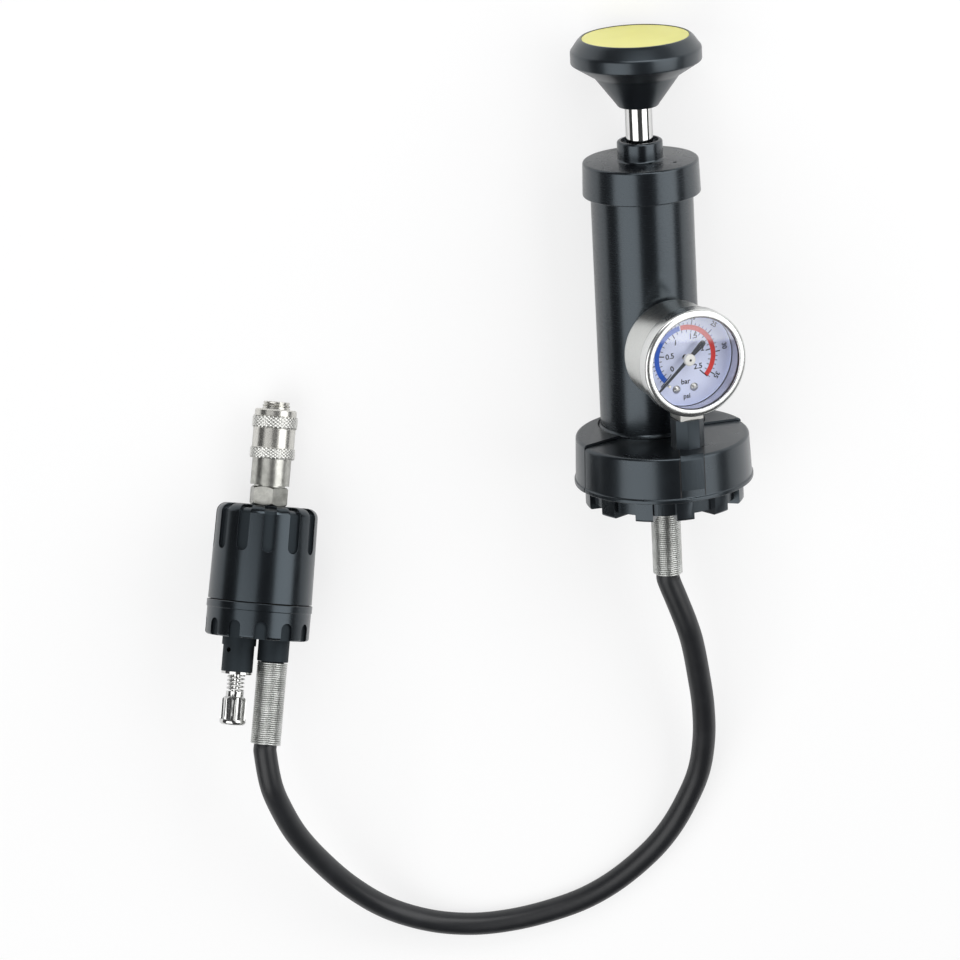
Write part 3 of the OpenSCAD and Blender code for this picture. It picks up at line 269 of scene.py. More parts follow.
def grown(name, tree, sizes, place):
    """The plain mesh that a tree makes from its sizes, put in its place."""
    maker = bpy.data.objects.new(name + "_maker", bpy.data.meshes.new(name + "_maker"))
    scene.collection.objects.link(maker)
    modifier = maker.modifiers.new("make", "NODES")
    modifier.node_group = tree
    for item in tree.interface.items_tree:
        if item.item_type == "SOCKET" and item.in_out == "INPUT":
            modifier[item.identifier] = sizes[item.name]
    return plain(name, maker, place)


def plain(name, maker, place=None):
    """Turns an object with live modifiers into a plain piece and removes it."""
    bpy.context.view_layer.update()
    mesh = bpy.data.meshes.new_from_object(maker.evaluated_get(
        bpy.context.evaluated_depsgraph_get()))
    bpy.data.objects.remove(maker)
    mesh.name = name
    if place is not None:
        mesh.transform(place)
    piece = bpy.data.objects.new(name, mesh)
    scene.collection.objects.link(piece)
    return piece


def fit(piece, *replaced, body="housing", slot=None):
    """A piece rides on its body and stands for CAD nodes, which it hides and whose body it takes.
    The slot is not used.
    """
    if replaced:
        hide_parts(*replaced)
        body = body_of[replaced[0]]
    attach(piece, body)


wound_tree, w, given = sized_tree("wound_wire", {
    "Radius": "Float", "Length": "Float", "Turns": "Float", "Wire": "Float",
    "Material": "Material"})
spiral = w.add("GeometryNodeCurveSpiral", {}, {
    "Resolution": 32, "Rotations": given["Turns"], "Start Radius": given["Radius"],
    "End Radius": given["Radius"], "Height": given["Length"]})
round_wire = w.add("GeometryNodeCurvePrimitiveCircle", {}, {
    "Resolution": 12, "Radius": given["Wire"] * 0.5})
coil = w.add("GeometryNodeCurveToMesh", {}, {"Curve": spiral, "Profile Curve": round_wire,
                                             "Fill Caps": True})
close_tree(w, coil, given["Material"])

# Dull zinc, greyer in patches, with fine draw marks.
zinc_wire, w, shader, here = finish("zinc_wire", metallic=1.0)
patch = w.noise(here, 160.0, 3.0, 0.6)
draw = w.noise(here, 1800.0, 3.0, 0.6)
feed(w, shader, w.blend(patch.step(0.35, 0.7), (0.56, 0.57, 0.55, 1), (0.72, 0.73, 0.71, 1)),
     0.24 + 0.16 * draw, draw, 0.000004, 0.3)

guard_wire, guard_pitch = 1.0, 1.04
for name, node, place, radius, low, length in (
        ("pump_end_spring", "pump_hose_guard", PUMP, 6.765, -49.1, 43),
        ("head_end_spring", "head_hose_guard", HEAD @ Matrix.Translation((8.7, 0, 0)),
         7.036, -117.4, 41)):
    spring = grown(name, wound_tree, {
        "Radius": radius, "Length": length - guard_wire, "Wire": guard_wire,
        "Turns": (length - guard_wire) / guard_pitch, "Material": zinc_wire},
        place @ Matrix.Translation((0, 0, low + guard_wire / 2)))
    fit(spring, node)

# ---- Base of the pump ----
# Two moulded halves meet along two seams and hold the port plate. The rear half stands a
# little higher. A bead with a groove over it runs round the lower rim.


def trued(mesh, axis, lean):
    """Points the shading of round walls straight out from an axis, so that light runs even.
    A drafted wall leans up by a share of its width. A corner belongs to a wall if its shading
    or its face points out, and is nearly level."""
    shading_out, face_out, level = 0.97, 0.985, 0.1
    home = np.array(axis.inverted())
    turn_in = home[:3, :3] / np.linalg.norm(home[:3, 0])
    n = len(mesh.loops)
    spots, normals = np.empty(3 * len(mesh.vertices)), np.empty(3 * n)
    where = np.empty(n, int)
    mesh.vertices.foreach_get("co", spots)
    mesh.corner_normals.foreach_get("vector", normals)
    mesh.loops.foreach_get("vertex_index", where)
    spots = (spots.reshape(-1, 3) @ home[:3, :3].T + home[:3, 3])[where]
    normals = normals.reshape(-1, 3) @ turn_in.T
    flat = np.empty(3 * len(mesh.polygons))
    corners = np.empty(len(mesh.polygons), int)
    mesh.polygons.foreach_get("normal", flat)
    mesh.polygons.foreach_get("loop_total", corners)
    flat = np.repeat(flat.reshape(-1, 3) @ turn_in.T, corners, axis=0)
    out = spots[:, :2] / np.maximum(np.linalg.norm(spots[:, :2], axis=1), 1e-6)[:, None]
    near = (normals[:, :2] * out).sum(axis=1)
    facing = (flat[:, :2] * out).sum(axis=1)
    wall = ((np.abs(near) > shading_out) & (np.abs(normals[:, 2]) < level)
            | (np.abs(facing) > face_out) & (np.abs(flat[:, 2]) < level))
    fixed = np.column_stack([out * np.sign(facing)[:, None], np.full(n, lean)])
    fixed /= np.linalg.norm(fixed, axis=1)[:, None]
    normals = np.where(wall[:, None], fixed, normals) @ turn_in
    mesh.normals_split_custom_set([tuple(v) for v in normals])


def eased(name, node, width, segments=2, limit=30.0, material=None, axis=None, lean=0.0,
          inner=True, merge=0.002):
    """A copy of a node's mesh with its sharp edges rounded, which stands for the node. Without
    inner, a corner that something slides into stays sharp. Points nearer than merge are one."""
    build = bmesh.new()
    build.from_mesh(nodes[node].data)
    bmesh.ops.remove_doubles(build, verts=build.verts, dist=merge / 1000)
    bmesh.ops.dissolve_limit(build, angle_limit=math.radians(0.4), verts=build.verts,
                             edges=build.edges)
    weight = build.edges.layers.float.new("bevel_weight_edge")
    for edge in build.edges:
        if len(edge.link_faces) == 2 and edge.calc_face_angle(0) > math.radians(limit):
            edge[weight] = 1.0 if inner or edge.is_convex else 0.0
    mesh = bpy.data.meshes.new(name + "_maker")
    build.to_mesh(mesh)
    build.free()
    mesh.polygons.foreach_set("use_smooth", [True] * len(mesh.polygons))
    mesh.set_sharp_from_angle(angle=math.radians(limit))
    maker = bpy.data.objects.new(name + "_maker", mesh)
    scene.collection.objects.link(maker)
    ease = maker.modifiers.new("ease", "BEVEL")
    ease.width, ease.segments = width / 1000, segments
    ease.limit_method = "WEIGHT"
    ease.use_clamp_overlap = True
    ease.harden_normals = True
    piece = plain(name, maker)
    if axis is not None:
        trued(piece.data, axis, lean)
    dress(material, piece)
    fit(piece, node)


def moulded(name, dark, light, rough, coat, grain_depth, recess=None):
    """Black moulded plastic: a cloudy black, spark grain from the mould and handling marks. A
    recess is a place, a radius and a height: what lies deeper and lower there is left matt, and
    its colour is painted nearly black as painted shade."""
    material, w, shader, here = finish(name, coat=coat, coat_rough=0.2)
    shader.inputs["IOR"].default_value = 1.62
    shader.inputs["Specular Tint"].default_value = (0.7, 0.87, 1, 1)
    grain = w.noise(here, 2400.0, 3.0, 0.6)
    cloud = w.noise(here, 55.0, 4.0, 0.6)
    mark = w.noise(w.stretched(here, (0, 0, 25), (1, 9, 1)), 260.0, 3.0, 0.6)
    dust = w.noise(here, 700.0, 5.0, 0.7).step(0.66, 0.8)
    colour = w.blend(cloud.step(0.4, 0.8), (*dark, 1), (*light, 1))
    colour = w.blend(0.2 * dust, colour, (0.03, 0.032, 0.036, 1))
    rough = rough + 0.06 * cloud + 0.03 * mark.step(0.5, 0.75)
    if recess is None:
        feed(w, shader, colour, rough, grain, grain_depth, 0.3)
        return material
    place, radius, height = recess
    local = w.add("ShaderNodeMapping", {"vector_type": "TEXTURE"}, {
        "Vector": here, "Location": place.translation,
        "Rotation": place.to_3x3().normalized().to_euler()})
    x, y, z = (w.add("ShaderNodeSeparateXYZ", {}, {0: local}, k) for k in range(3))
    depth = w.math("SQRT", x * x + y * y)
    # In the recess the colour is painted nearly black, as painted shade, and the coat is taken off.
    recess_shade_and_matt = (1 - depth.step(radius - 0.0001, radius + 0.0001)) * (1 - z.step(height - 0.001, height))
    feed(w, shader, w.blend(recess_shade_and_matt, colour, (0.0012, 0.0013, 0.0016, 1)), rough + 0.4 * recess_shade_and_matt,
         grain, grain_depth, 0.3, **{"Coat Weight": coat - coat * recess_shade_and_matt})
    return material


base_plastic = moulded("base_plastic", (0.0035, 0.0039, 0.0048), (0.0055, 0.006, 0.0075),
                       0.25, 0.35, 0.000008)
eased("rear_base_half", "pump_base", 0.35, 3, material=base_plastic, axis=PUMP, lean=0.043)
eased("front_base_half", "front_cover", 0.35, 3, material=base_plastic, axis=PUMP, lean=0.043)
dress(base_plastic, "port_plate")

# ---- Lock ring ----
# A castellated ring under the base, turned tight by its twelve lugs and held by four screws.

eased("castellated_ring", "lock_ring", 0.7, 3, material=base_plastic)

steel, w, shader, here = finish("screw_steel", metallic=1.0)
fine = w.noise(here, 900.0, 3.0, 0.6)
feed(w, shader, w.blend(fine, (0.42, 0.42, 0.41, 1), (0.6, 0.6, 0.58, 1)), 0.22 + 0.2 * fine,
     fine, 0.00002, 0.3)
dress(steel, "base_screws", "piston_nut")

# ---- Barrel and its cap ----
# A plain moulded tube with a flange at its foot, closed by a cap whose neck holds the bush
# that guides the rod. A small hole in the cap lets air in behind the piston. A ledge as thin
# as a hair over the flange is merged away.

barrel_plastic = moulded("barrel_plastic", (0.0035, 0.0039, 0.0048), (0.005, 0.0056, 0.007),
                         0.23, 0.4, 0.000006)
eased("pump_barrel", "barrel", 0.3, 2, material=barrel_plastic, axis=BARREL, inner=False,
      merge=0.02)
eased("barrel_end_cap", "barrel_cap", 0.3, 2, material=barrel_plastic, axis=BARREL)
bush_plastic = moulded("bush_plastic", (0.008, 0.008, 0.009), (0.013, 0.013, 0.015),
                       0.3, 0.4, 0.000008)
eased("rod_guide", "rod_bush", 0.25, 2, material=bush_plastic)

soft_rubber, w, shader, here = finish("soft_rubber")
bloom = w.noise(here, 220.0, 4.0, 0.6)
feed(w, shader, w.blend(bloom, (0.012, 0.012, 0.013, 1), (0.028, 0.028, 0.03, 1)),
     0.5 + 0.2 * bloom, bloom, 0.00004, 0.3)
dress(soft_rubber, "check_valve", "piston_seal", "release_seal")

# ---- Plunger ----
# A polished rod carries the piston at its lower end and the knob at its top, which has a
# coloured disc let into it. It slides in the bush.


def turned(name, outline, sides, place, limit=28.0):
    """A closed ring or disc turned about Z from its outline of (radius, height), with a UV map
    of the share of the turn and the height."""
    n = len(outline)
    points, faces, marks = [], [], []
    for k in range(sides):
        a = 2 * math.pi * k / sides
        points += [(r * math.cos(a), r * math.sin(a), z) for r, z in outline]
    for k in range(sides):
        for i in range(n):
            j, m = (i + 1) % n, (k + 1) % sides
            if outline[i][0] < 1e-6 and outline[j][0] < 1e-6:
                continue
            faces.append((k * n + i, m * n + i, m * n + j, k * n + j))
            marks += [(k / sides, outline[i][1] / 50), ((k + 1) / sides, outline[i][1] / 50),
                      ((k + 1) / sides, outline[j][1] / 50), (k / sides, outline[j][1] / 50)]
    mesh = bpy.data.meshes.new(name)
    mesh.from_pydata(points, [], faces)
    uv = mesh.uv_layers.new(name="turn")
    uv.data.foreach_set("uv", [c for mark in marks for c in mark])
    build = bmesh.new()
    build.from_mesh(mesh)
    bmesh.ops.remove_doubles(build, verts=build.verts, dist=1e-5)
    bmesh.ops.recalc_face_normals(build, faces=build.faces)
    build.to_mesh(mesh)
    build.free()
    mesh.transform(place)
    mesh.polygons.foreach_set("use_smooth", [True] * len(mesh.polygons))
    mesh.set_sharp_from_angle(angle=math.radians(limit))
    piece = bpy.data.objects.new(name, mesh)
    scene.collection.objects.link(piece)
    return piece


def rounded(corner_r, corner_z, radius, start, end, steps=6):
    """Points of an arc for an outline, about a centre, from one direction to another."""
    return [(corner_r + radius * math.cos(math.radians(start + (end - start) * i / steps)),
             corner_z + radius * math.sin(math.radians(start + (end - start) * i / steps)))
            for i in range(steps + 1)]


rod_chrome, w, shader, here = finish("rod_chrome", metallic=1.0)
polish = w.noise(w.stretched(here, (0, 0, 0), (0.4, 6, 0.4)), 900.0, 3.0, 0.6)
feed(w, shader, w.blend(polish, (0.7, 0.7, 0.69, 1), (0.76, 0.76, 0.75, 1)), 0.06 + 0.08 * polish)
dress(rod_chrome, "plunger_rod")

turned_alu, w, shader, here = finish("turned_alu", metallic=1.0)
lathe = w.noise(w.stretched(here, (0, 0, 0), (0.5, 8, 0.5)), 500.0, 2.0, 0.5)
feed(w, shader, (0.62, 0.62, 0.6, 1), 0.25 + 0.15 * lathe, lathe, 0.00002, 0.3)
dress(turned_alu, "piston")

knob_plastic = moulded("knob_plastic", (0.0038, 0.0042, 0.0052), (0.006, 0.0065, 0.008),
                       0.3, 0.35, 0.000012)
knob_z, band_r, rim_r, seat_r = 181.6, 31.5, 27.0, 25.75
knob_cone = [(0, 0), (9.6, 0), (10.1, 0.5), (10.5, 1.2), (20.3, 14.4), (21.2, 15.35),
             (22.6, 16.1), (30.6, 21.2)]
knob = turned("plunger_knob", knob_cone
              + rounded(band_r - 0.9, 22.3, 0.9, -50, 0, 3)
              + rounded(band_r - 2.4, 26.9, 2.4, 0, 48, 6)
              + [(28.1, 32.4)] + rounded(rim_r - 0.7, 33.1, 0.7, 40, 90, 4)
              + [(seat_r + 0.2, 33.8), (seat_r, 33.6), (seat_r, 32.2), (0, 32.2)],
              128, BARREL @ Matrix.Translation((0, 0, knob_z)), 20)
dress(knob_plastic, knob)
fit(knob, "knob")

yellow_foil, w, shader, here = finish("yellow_foil", coat=0.6, coat_rough=0.2)
speck = w.noise(here, 1500.0, 3.0, 0.6)
wave = w.noise(here, 38.0, 2.0, 0.5)
feed(w, shader, w.blend(wave.step(0.3, 0.7), (0.72, 0.68, 0.035, 1), (0.78, 0.74, 0.07, 1)),
     0.3 + 0.1 * speck, speck, 0.000006, 0.25)
eased("yellow_disc", "knob_disc", 0.3, 3, material=yellow_foil)

# ---- Gauge post and stem ----
# The post is an eight-sided turret with a pad that is moulded over the front of the base and
# ends in a seam on either side. Thin dark strips along the two seams are painted shade for
# their grooves. The plated brass stem is screwed into the post and carries the gauge and its
# movement.

post_plastic = moulded("post_plastic", (0.004, 0.0045, 0.0055), (0.007, 0.0075, 0.009),
                       0.42, 0.1, 0.00003)
eased("gauge_turret", "gauge_post", 0.2, 2, material=post_plastic)
# Two thin strips in the dark rubber finish lie on the seams: painted shade for the grooves.
pad_profile = [(24.5, 22.34), (40.5, 22.34), (41.3, 22.1), (41.9, 21.5), (42.14, 20.7),
               (42.94, 2.3)]
for name, low, high in (("pad_left_seam_shade", 6.45, 7.12), ("pad_right_seam_shade", 18.3, 18.75)):
    points = [(x, -math.sqrt(r * r - x * x), z) for r, z in pad_profile for x in (low, high)]
    seam_shade_strip = mesh_piece(name, points, [(2 * i, 2 * i + 1, 2 * i + 3, 2 * i + 2)
                                     for i in range(len(pad_profile) - 1)], False, PUMP)
    dress(soft_rubber, seam_shade_strip)
    fit(seam_shade_strip, body="housing", slot="black_plastic")
plated_brass, w, shader, here = finish("plated_brass", metallic=1.0)
fine = w.noise(here, 1200.0, 3.0, 0.6)
feed(w, shader, w.blend(fine, (0.36, 0.36, 0.34, 1), (0.62, 0.62, 0.6, 1)), 0.2 + 0.2 * fine,
     fine, 0.000006, 0.3)
eased("stem_square", "gauge_stem", 0.25, 2, material=plated_brass)

# ---- Gauge case, bezel and lens ----
# A drawn steel cup with a rolled bezel over its rim, which presses the glass onto a spacer
# ring over the dial. Brush marks run round the cup.

# The gauge stands square on the barrel's axis. Its heights are from the back of its case.
gauge_up, gauge_round, gauge_out = 66.9, 22, 25.85
GAUGE = (BARREL @ Matrix.Translation((0, 0, gauge_up)) @ turn(gauge_round, "Z") @ turn(90, "X")
         @ Matrix.Translation((0, 0, gauge_out)))
dial_z, rim_z, case_in = 17.7, 27.9, 24.0

brushed_steel, w, shader, here = finish("brushed_steel", metallic=1.0)
around = w.add("ShaderNodeUVMap", {"uv_map": "turn"})
brush = w.noise(w.stretched(around, (0, 0, 0), (6, 900, 1)), 1.0, 4.0, 0.65)
brush_fine = w.noise(w.stretched(around, (0, 0, 0), (30, 2600, 1)), 1.0, 2.0, 0.6)
feed(w, shader, w.blend(brush, (0.6, 0.61, 0.59, 1), (0.78, 0.79, 0.77, 1)),
     0.2 + 0.16 * brush_fine, brush + brush_fine, 0.000004, 0.3)

case = turned("gauge_cup", [(0, 0), (21.9, 0)] + rounded(22, 2.6, 2.6, -90, 0)
              + [(24.6, rim_z), (case_in, rim_z), (case_in, 1), (0, 1)], 128, GAUGE)
dress(brushed_steel, case)
fit(case, "gauge_case")

bezel_steel, w, shader, here = finish("bezel_steel", metallic=1.0)
around = w.add("ShaderNodeUVMap", {"uv_map": "turn"})
spun = w.noise(w.stretched(around, (0, 0, 0), (4, 1500, 1)), 1.0, 3.0, 0.6)
feed(w, shader, (0.76, 0.77, 0.76, 1), 0.2 + 0.12 * spun, spun, 0.000003, 0.3)
bezel = turned("rolled_bezel", [(24.65, 22.9), (25.9, 22.9), (26.3, 23.2), (26.4, 23.7),
                                (26.4, 29.3)]
               + rounded(24.9, 29.4, 1.5, 0, 72, 8)[1:] + [(24.9, 31.03), (24.2, 31.08)]
               + rounded(23.1, 30.6, 0.5, 90, 180, 5)
               + [(22.6, 29.85), (24.65, 29.85)], 144, GAUGE, 50)
dress(bezel_steel, bezel)
fit(bezel, "gauge_bezel")

# Black for the lens seal, and for the ring of painted shade at the dial's edge.
seal_and_shade_black, w, shader, here = finish("seal_and_shade_black")
skin = w.noise(here, 800.0, 3.0, 0.6)
feed(w, shader, w.blend(skin, (0.006, 0.006, 0.008, 1), (0.012, 0.012, 0.014, 1)), 0.5, skin,
     0.00002, 0.3)
lens_seal = turned("lens_seal", [(22.25, 29.7), (24.6, 29.7), (24.6, 29.84), (22.25, 29.84)],
                   128, GAUGE)
dress(seal_and_shade_black, lens_seal)
fit(lens_seal, body="housing", slot="rubber")

# The spacer is silvery metal, tinted lavender as a painted reflection of the dial.
spacer_tin, w, shader, here = finish("spacer_tin", metallic=0.6)
around = w.add("ShaderNodeUVMap", {"uv_map": "turn"})
spun = w.noise(w.stretched(around, (0, 0, 0), (5, 700, 1)), 1.0, 3.0, 0.6)
feed(w, shader, w.blend(spun, (0.55, 0.56, 0.66, 1), (0.68, 0.69, 0.78, 1)), 0.25 + 0.15 * spun,
     spun, 0.00001, 0.3)
# Heights of the dial wall's top, of the black ring of painted shade over the dial's edge, and of
# the spacer.
ring_r, shade_ring_low, shade_ring_top, spacer_low = 23.95, dial_z + 2.3, dial_z + 2.88, dial_z + 2.9
spacer = turned("spacer_ring", [(23.5, spacer_low), (ring_r, spacer_low), (ring_r, 27.8),
                                (22.9, 27.8)], 128, GAUGE)
dress(spacer_tin, spacer)
fit(spacer, "dial_ring")

# The window is clear and very slightly domed, and leans a little. Only its outer face, which
# its UV heights tell apart, throws back a share of the light.
lens_lean, lens_middle, thrown_back = 2.9, 28.5, 0.11
clear_glass, w, shader, here = finish("clear_glass", metallic=1.0)
around = w.add("ShaderNodeUVMap", {"uv_map": "turn"})
outside = w.add("ShaderNodeSeparateXYZ", {}, {"Vector": around}, 1).step(0.572, 0.576)
haze = w.noise(here, 500.0, 3.0, 0.6)
feed(w, shader, (0.95, 0.97, 1, 1), 0.02 + 0.04 * haze, Alpha=thrown_back * outside)
dome = [(24.4 * k / 12, 29.2 + 0.6 * (1 - (k / 12) ** 2)) for k in range(13)]
lens = turned("gauge_glass", dome + [(24.5, 29.1), (24.5, 28.3), (24.4, 28.2), (0, 28.2)], 96,
              GAUGE @ Matrix.Translation((0, 0, lens_middle)) @ turn(lens_lean, "X")
              @ Matrix.Translation((0, 0, -lens_middle)))
dress(clear_glass, lens)
fit(lens, "gauge_lens")

# ---- Dial ----
# A printed tin dial on two round-headed screws: a blue and a red band, an inner scale in bar
# and an outer one in psi, with plain numbers.

dial_paint, w, shader, here = finish("dial_paint", coat=0.3, coat_rough=0.3)
orange = w.noise(here, 900.0, 3.0, 0.6)
tone = w.noise(here, 60.0, 2.0, 0.5)
feed(w, shader, w.blend(tone, (0.68, 0.74, 0.95, 1), (0.76, 0.8, 0.98, 1)), 0.42, orange,
     0.000015, 0.2)
dress(dial_paint, "gauge_dial")


def ink(name, colour):
    """A printing ink with a slightly uneven layer."""
    material, w, shader, here = finish(name)
    layer = w.noise(here, 1400.0, 3.0, 0.6)
    darker = tuple(0.85 * c for c in colour)
    feed(w, shader, w.blend(layer, (*darker, 1), (*colour, 1)), 0.5)
    return material


blue_ink = ink("blue_ink", (0.012, 0.12, 0.66))
red_ink = ink("red_ink", (0.8, 0.045, 0.035))
black_ink = ink("black_ink", (0.02, 0.02, 0.03))


def band(name, start, end, inner, outer, lift, material):
    """A flat printed band between two directions, in degrees from the dial's right."""
    steps = max(2, int(abs(end - start) / 2))
    points, faces = [], []
    for i in range(steps + 1):
        a = math.radians(start + (end - start) * i / steps)
        points += [(r * math.cos(a), r * math.sin(a), dial_z + lift) for r in (inner, outer)]
    for i in range(steps):
        b = 2 * i
        faces.append((b, b + 1, b + 3, b + 2) if end > start else (b, b + 2, b + 3, b + 1))
    piece = mesh_piece(name, points, faces, False, GAUGE)
    dress(material, piece)
    fit(piece, body="housing", slot="dial_paint")


zero_at, sweep, band_in, band_out, ink_lift = 225, 270, 13.55, 16.0, 0.05
band("blue_band", zero_at, 99, band_in, band_out, 0.03, blue_ink)
band("red_band", 97, zero_at - sweep, band_in, band_out, 0.03, red_ink)
dial_wall = turned("dial_wall", [(23.6, dial_z), (ring_r, dial_z), (ring_r, shade_ring_low),
                                 (23.6, shade_ring_low)], 128, GAUGE)
dress(dial_paint, dial_wall)
fit(dial_wall, body="housing", slot="dial_paint")
# A thin black ring just over the dial's edge is painted shade for the gap where the dial meets the
# case wall.
dial_edge_shade = turned("dial_edge_shade_ring", [(23.3, shade_ring_low), (ring_r, shade_ring_low), (ring_r, shade_ring_top),
                                      (23.3, shade_ring_top)], 128, GAUGE)
dress(seal_and_shade_black, dial_edge_shade)
fit(dial_edge_shade, body="housing", slot="rubber")

scale_tree, w, given = sized_tree("scale_marks", {
    "Marks": "Int", "First": "Float", "Step": "Float", "Inner": "Float", "Outer": "Float",
    "Width": "Float", "Material": "Material"})
spots = w.add("GeometryNodeMeshLine", {}, {"Count": given["Marks"], "Offset": (0, 0, 0)})
angle = given["First"] + given["Step"] * w.add("GeometryNodeInputIndex")
middle = (given["Inner"] + given["Outer"]) * 0.5
where = w.add("ShaderNodeCombineXYZ", {}, {
    "X": middle * w.math("COSINE", angle), "Y": middle * w.math("SINE", angle), "Z": 0.0})
spots = w.add("GeometryNodeSetPosition", {}, {"Geometry": spots, "Position": where})
mark = w.add("GeometryNodeMeshGrid", {}, {
    "Size X": given["Outer"] - given["Inner"], "Size Y": given["Width"],
    "Vertices X": 2, "Vertices Y": 2})
turn_to = w.add("ShaderNodeCombineXYZ", {}, {"X": 0.0, "Y": 0.0, "Z": angle})
marks = w.add("GeometryNodeInstanceOnPoints", {}, {
    "Points": spots, "Instance": mark, "Rotation": turn_to})
close_tree(w, marks, given["Material"], False)

psi_full = 36.26
psi_step = sweep / psi_full
for name, count, step, inner, outer, width in (
        ("bar_marks", 26, -10.8, 12.2, 13.6, 0.36),
        ("bar_long_marks", 6, -54, 11.0, 13.6, 0.55),
        ("bar_end_marks", 2, -sweep, 10.5, 15.9, 0.5),
        ("psi_marks", 37, -psi_step, band_out, 17.1, 0.34),
        ("psi_long_marks", 8, -5 * psi_step, band_out, 18.4, 0.5)):
    marks = grown(name, scale_tree, {
        "Marks": count, "First": math.radians(zero_at), "Step": math.radians(step),
        "Inner": inner, "Outer": outer, "Width": width, "Material": black_ink},
        GAUGE @ Matrix.Translation((0, 0, dial_z + ink_lift)))
    fit(marks, body="housing", slot="dial_paint")


def printed(name, text, x, y, height, turned_by=0.0):
    """Plain numbers or a unit on the dial, centred on a point."""
    curve = bpy.data.curves.new(name + "_text", "FONT")
    share_of_size = 0.72  # how high a number stands in Blender's own font
    curve.body, curve.size = text, height / share_of_size
    curve.align_x, curve.align_y = "CENTER", "CENTER"
    curve.resolution_u = 3
    curve.offset = 0.08
    maker = bpy.data.objects.new(name + "_text", curve)
    scene.collection.objects.link(maker)
    piece = plain(name, maker, GAUGE @ Matrix.Translation((x, y, dial_z + ink_lift))
                  @ turn(turned_by, "Z"))
    dress(black_ink, piece)
    fit(piece, body="housing", slot="dial_paint")


for name, text, x, y, height, turned_by in (
        ("number_0", "0", -6.9, -4.9, 2.7, 20), ("number_0_5", "0.5", -7.9, 1.4, 2.7, 4),
        ("number_1", "1", -4.7, 7.8, 2.7, -8), ("number_1_5", "1.5", 4.6, 9.8, 2.7, 0),
        ("number_2", "2", 9.2, 3.0, 2.7, 0), ("number_2_5", "2.5", 6.6, -5.5, 2.7, 0),
        ("unit_bar", "bar", -0.2, -12.1, 2.6, 0), ("unit_psi", "psi", 0.2, -19.4, 2.4, 0),
        ("number_30", "30", 20.6, 2.6, 2.4, -84), ("number_35", "35", 16.1, -11.2, 2.4, -125),
        ("number_25", "25", 15.6, 14.0, 2.4, -38)):
    printed(name, text, x, y, height, turned_by)
psi_r = 19.6
for psi in (5, 10, 15, 20):
    a = math.radians(zero_at - psi * psi_step)
    printed(f"number_{psi}_psi", str(psi), psi_r * math.cos(a), psi_r * math.sin(a), 2.4,
            math.degrees(a) - 90)

dress(steel, "dial_screws")
pin_cream, w, shader, here = finish("pin_cream", metallic=0.8)
tone = w.noise(here, 900.0, 3.0, 0.6)
feed(w, shader, w.blend(tone, (0.7, 0.66, 0.52, 1), (0.8, 0.78, 0.66, 1)), 0.3)
dress(pin_cream, "stop_pin")

# ---- Needle and movement ----
# The needle is a thin black blade with a broad tail under a white hub. It is pressed on the
# arbor that the brass sector turns when the curved tube straightens.

needle_rest, blade_thick = 221.5, 0.45
needle_place = GAUGE @ turn(needle_rest, "Z")
blade_z = dial_z + 3.9
outline = [(21.2, 0.32), (20.4, 0.5), (17.5, 0.6), (6, 0.75), (2, 0.85), (-2, 0.95), (-5, 1.15),
           (-9.2, 1.5), (-10.4, 1.5), (-11.2, 1.1), (-11.5, 0.4)]
outline += [(x, -y) for x, y in reversed(outline)]
n = len(outline)
points = [(x, y, z) for z in (blade_z, blade_z + blade_thick) for x, y in outline]
faces = [tuple(range(n)), tuple(range(2 * n - 1, n - 1, -1))]
faces += [(k, k + n, (k + 1) % n + n, (k + 1) % n) for k in range(n)]
blade = mesh_piece("needle_blade", points, faces, False, needle_place)
build = bmesh.new()
build.from_mesh(blade.data)
bmesh.ops.recalc_face_normals(build, faces=build.faces)
build.to_mesh(blade.data)
build.free()
needle_paint, w, shader, here = finish("needle_paint", coat=0.2)
skin = w.noise(here, 900.0, 3.0, 0.6)
feed(w, shader, w.blend(skin, (0.014, 0.018, 0.026, 1), (0.026, 0.031, 0.042, 1)), 0.45, skin,
     0.00001, 0.2)
dress(needle_paint, blade)
fit(blade, "needle")

hub_white, w, shader, here = finish("hub_white", coat=0.4, coat_rough=0.2)
tone = w.noise(here, 500.0, 3.0, 0.6)
feed(w, shader, w.blend(tone, (0.76, 0.75, 0.7, 1), (0.86, 0.86, 0.82, 1)), 0.35)
hub = turned("needle_hub", [(0, blade_z - 0.6), (1.9, blade_z - 0.6), (1.9, blade_z + 0.46),
                            (2.95, blade_z + 0.46)] + rounded(2.2, 23.35, 0.75, 0, 90, 5)
             + [(1.2, 24.2), (0, 24.25)], 64, GAUGE)
dress(hub_white, hub)
fit(hub, body="needle", slot="needle_paint")
# The arbor takes the needle's black: painted shade for its steel end, which lies in shadow in the
# hub.
arbor = turned("needle_arbor", [(0, 7.7), (0.6, 7.7), (0.6, 9.1), (1.5, 9.1), (1.5, 12.3),
                                (0.6, 12.3), (0.6, 24.3), (0.5, 24.4), (0, 24.4)], 32, GAUGE)
dress(needle_paint, arbor)
fit(arbor, body="needle", slot="steel")

raw_brass, w, shader, here = finish("raw_brass", metallic=1.0)
tarnish = w.noise(here, 300.0, 4.0, 0.6)
feed(w, shader, w.blend(tarnish, (0.45, 0.31, 0.12, 1), (0.66, 0.48, 0.2, 1)),
     0.25 + 0.2 * tarnish, tarnish, 0.00002, 0.3)
dress(raw_brass, "bourdon_tube", "movement_frame", "sector_gear", "hose_fitting", "coupler_valve")

# ---- Valve head ----
# A fluted shell over a brass core, closed below by a notched ring with a band. Hose and
# release valve are screwed into it from below. Its flutes were left matt by the mould, and
# their colour is painted nearly black as painted shade.

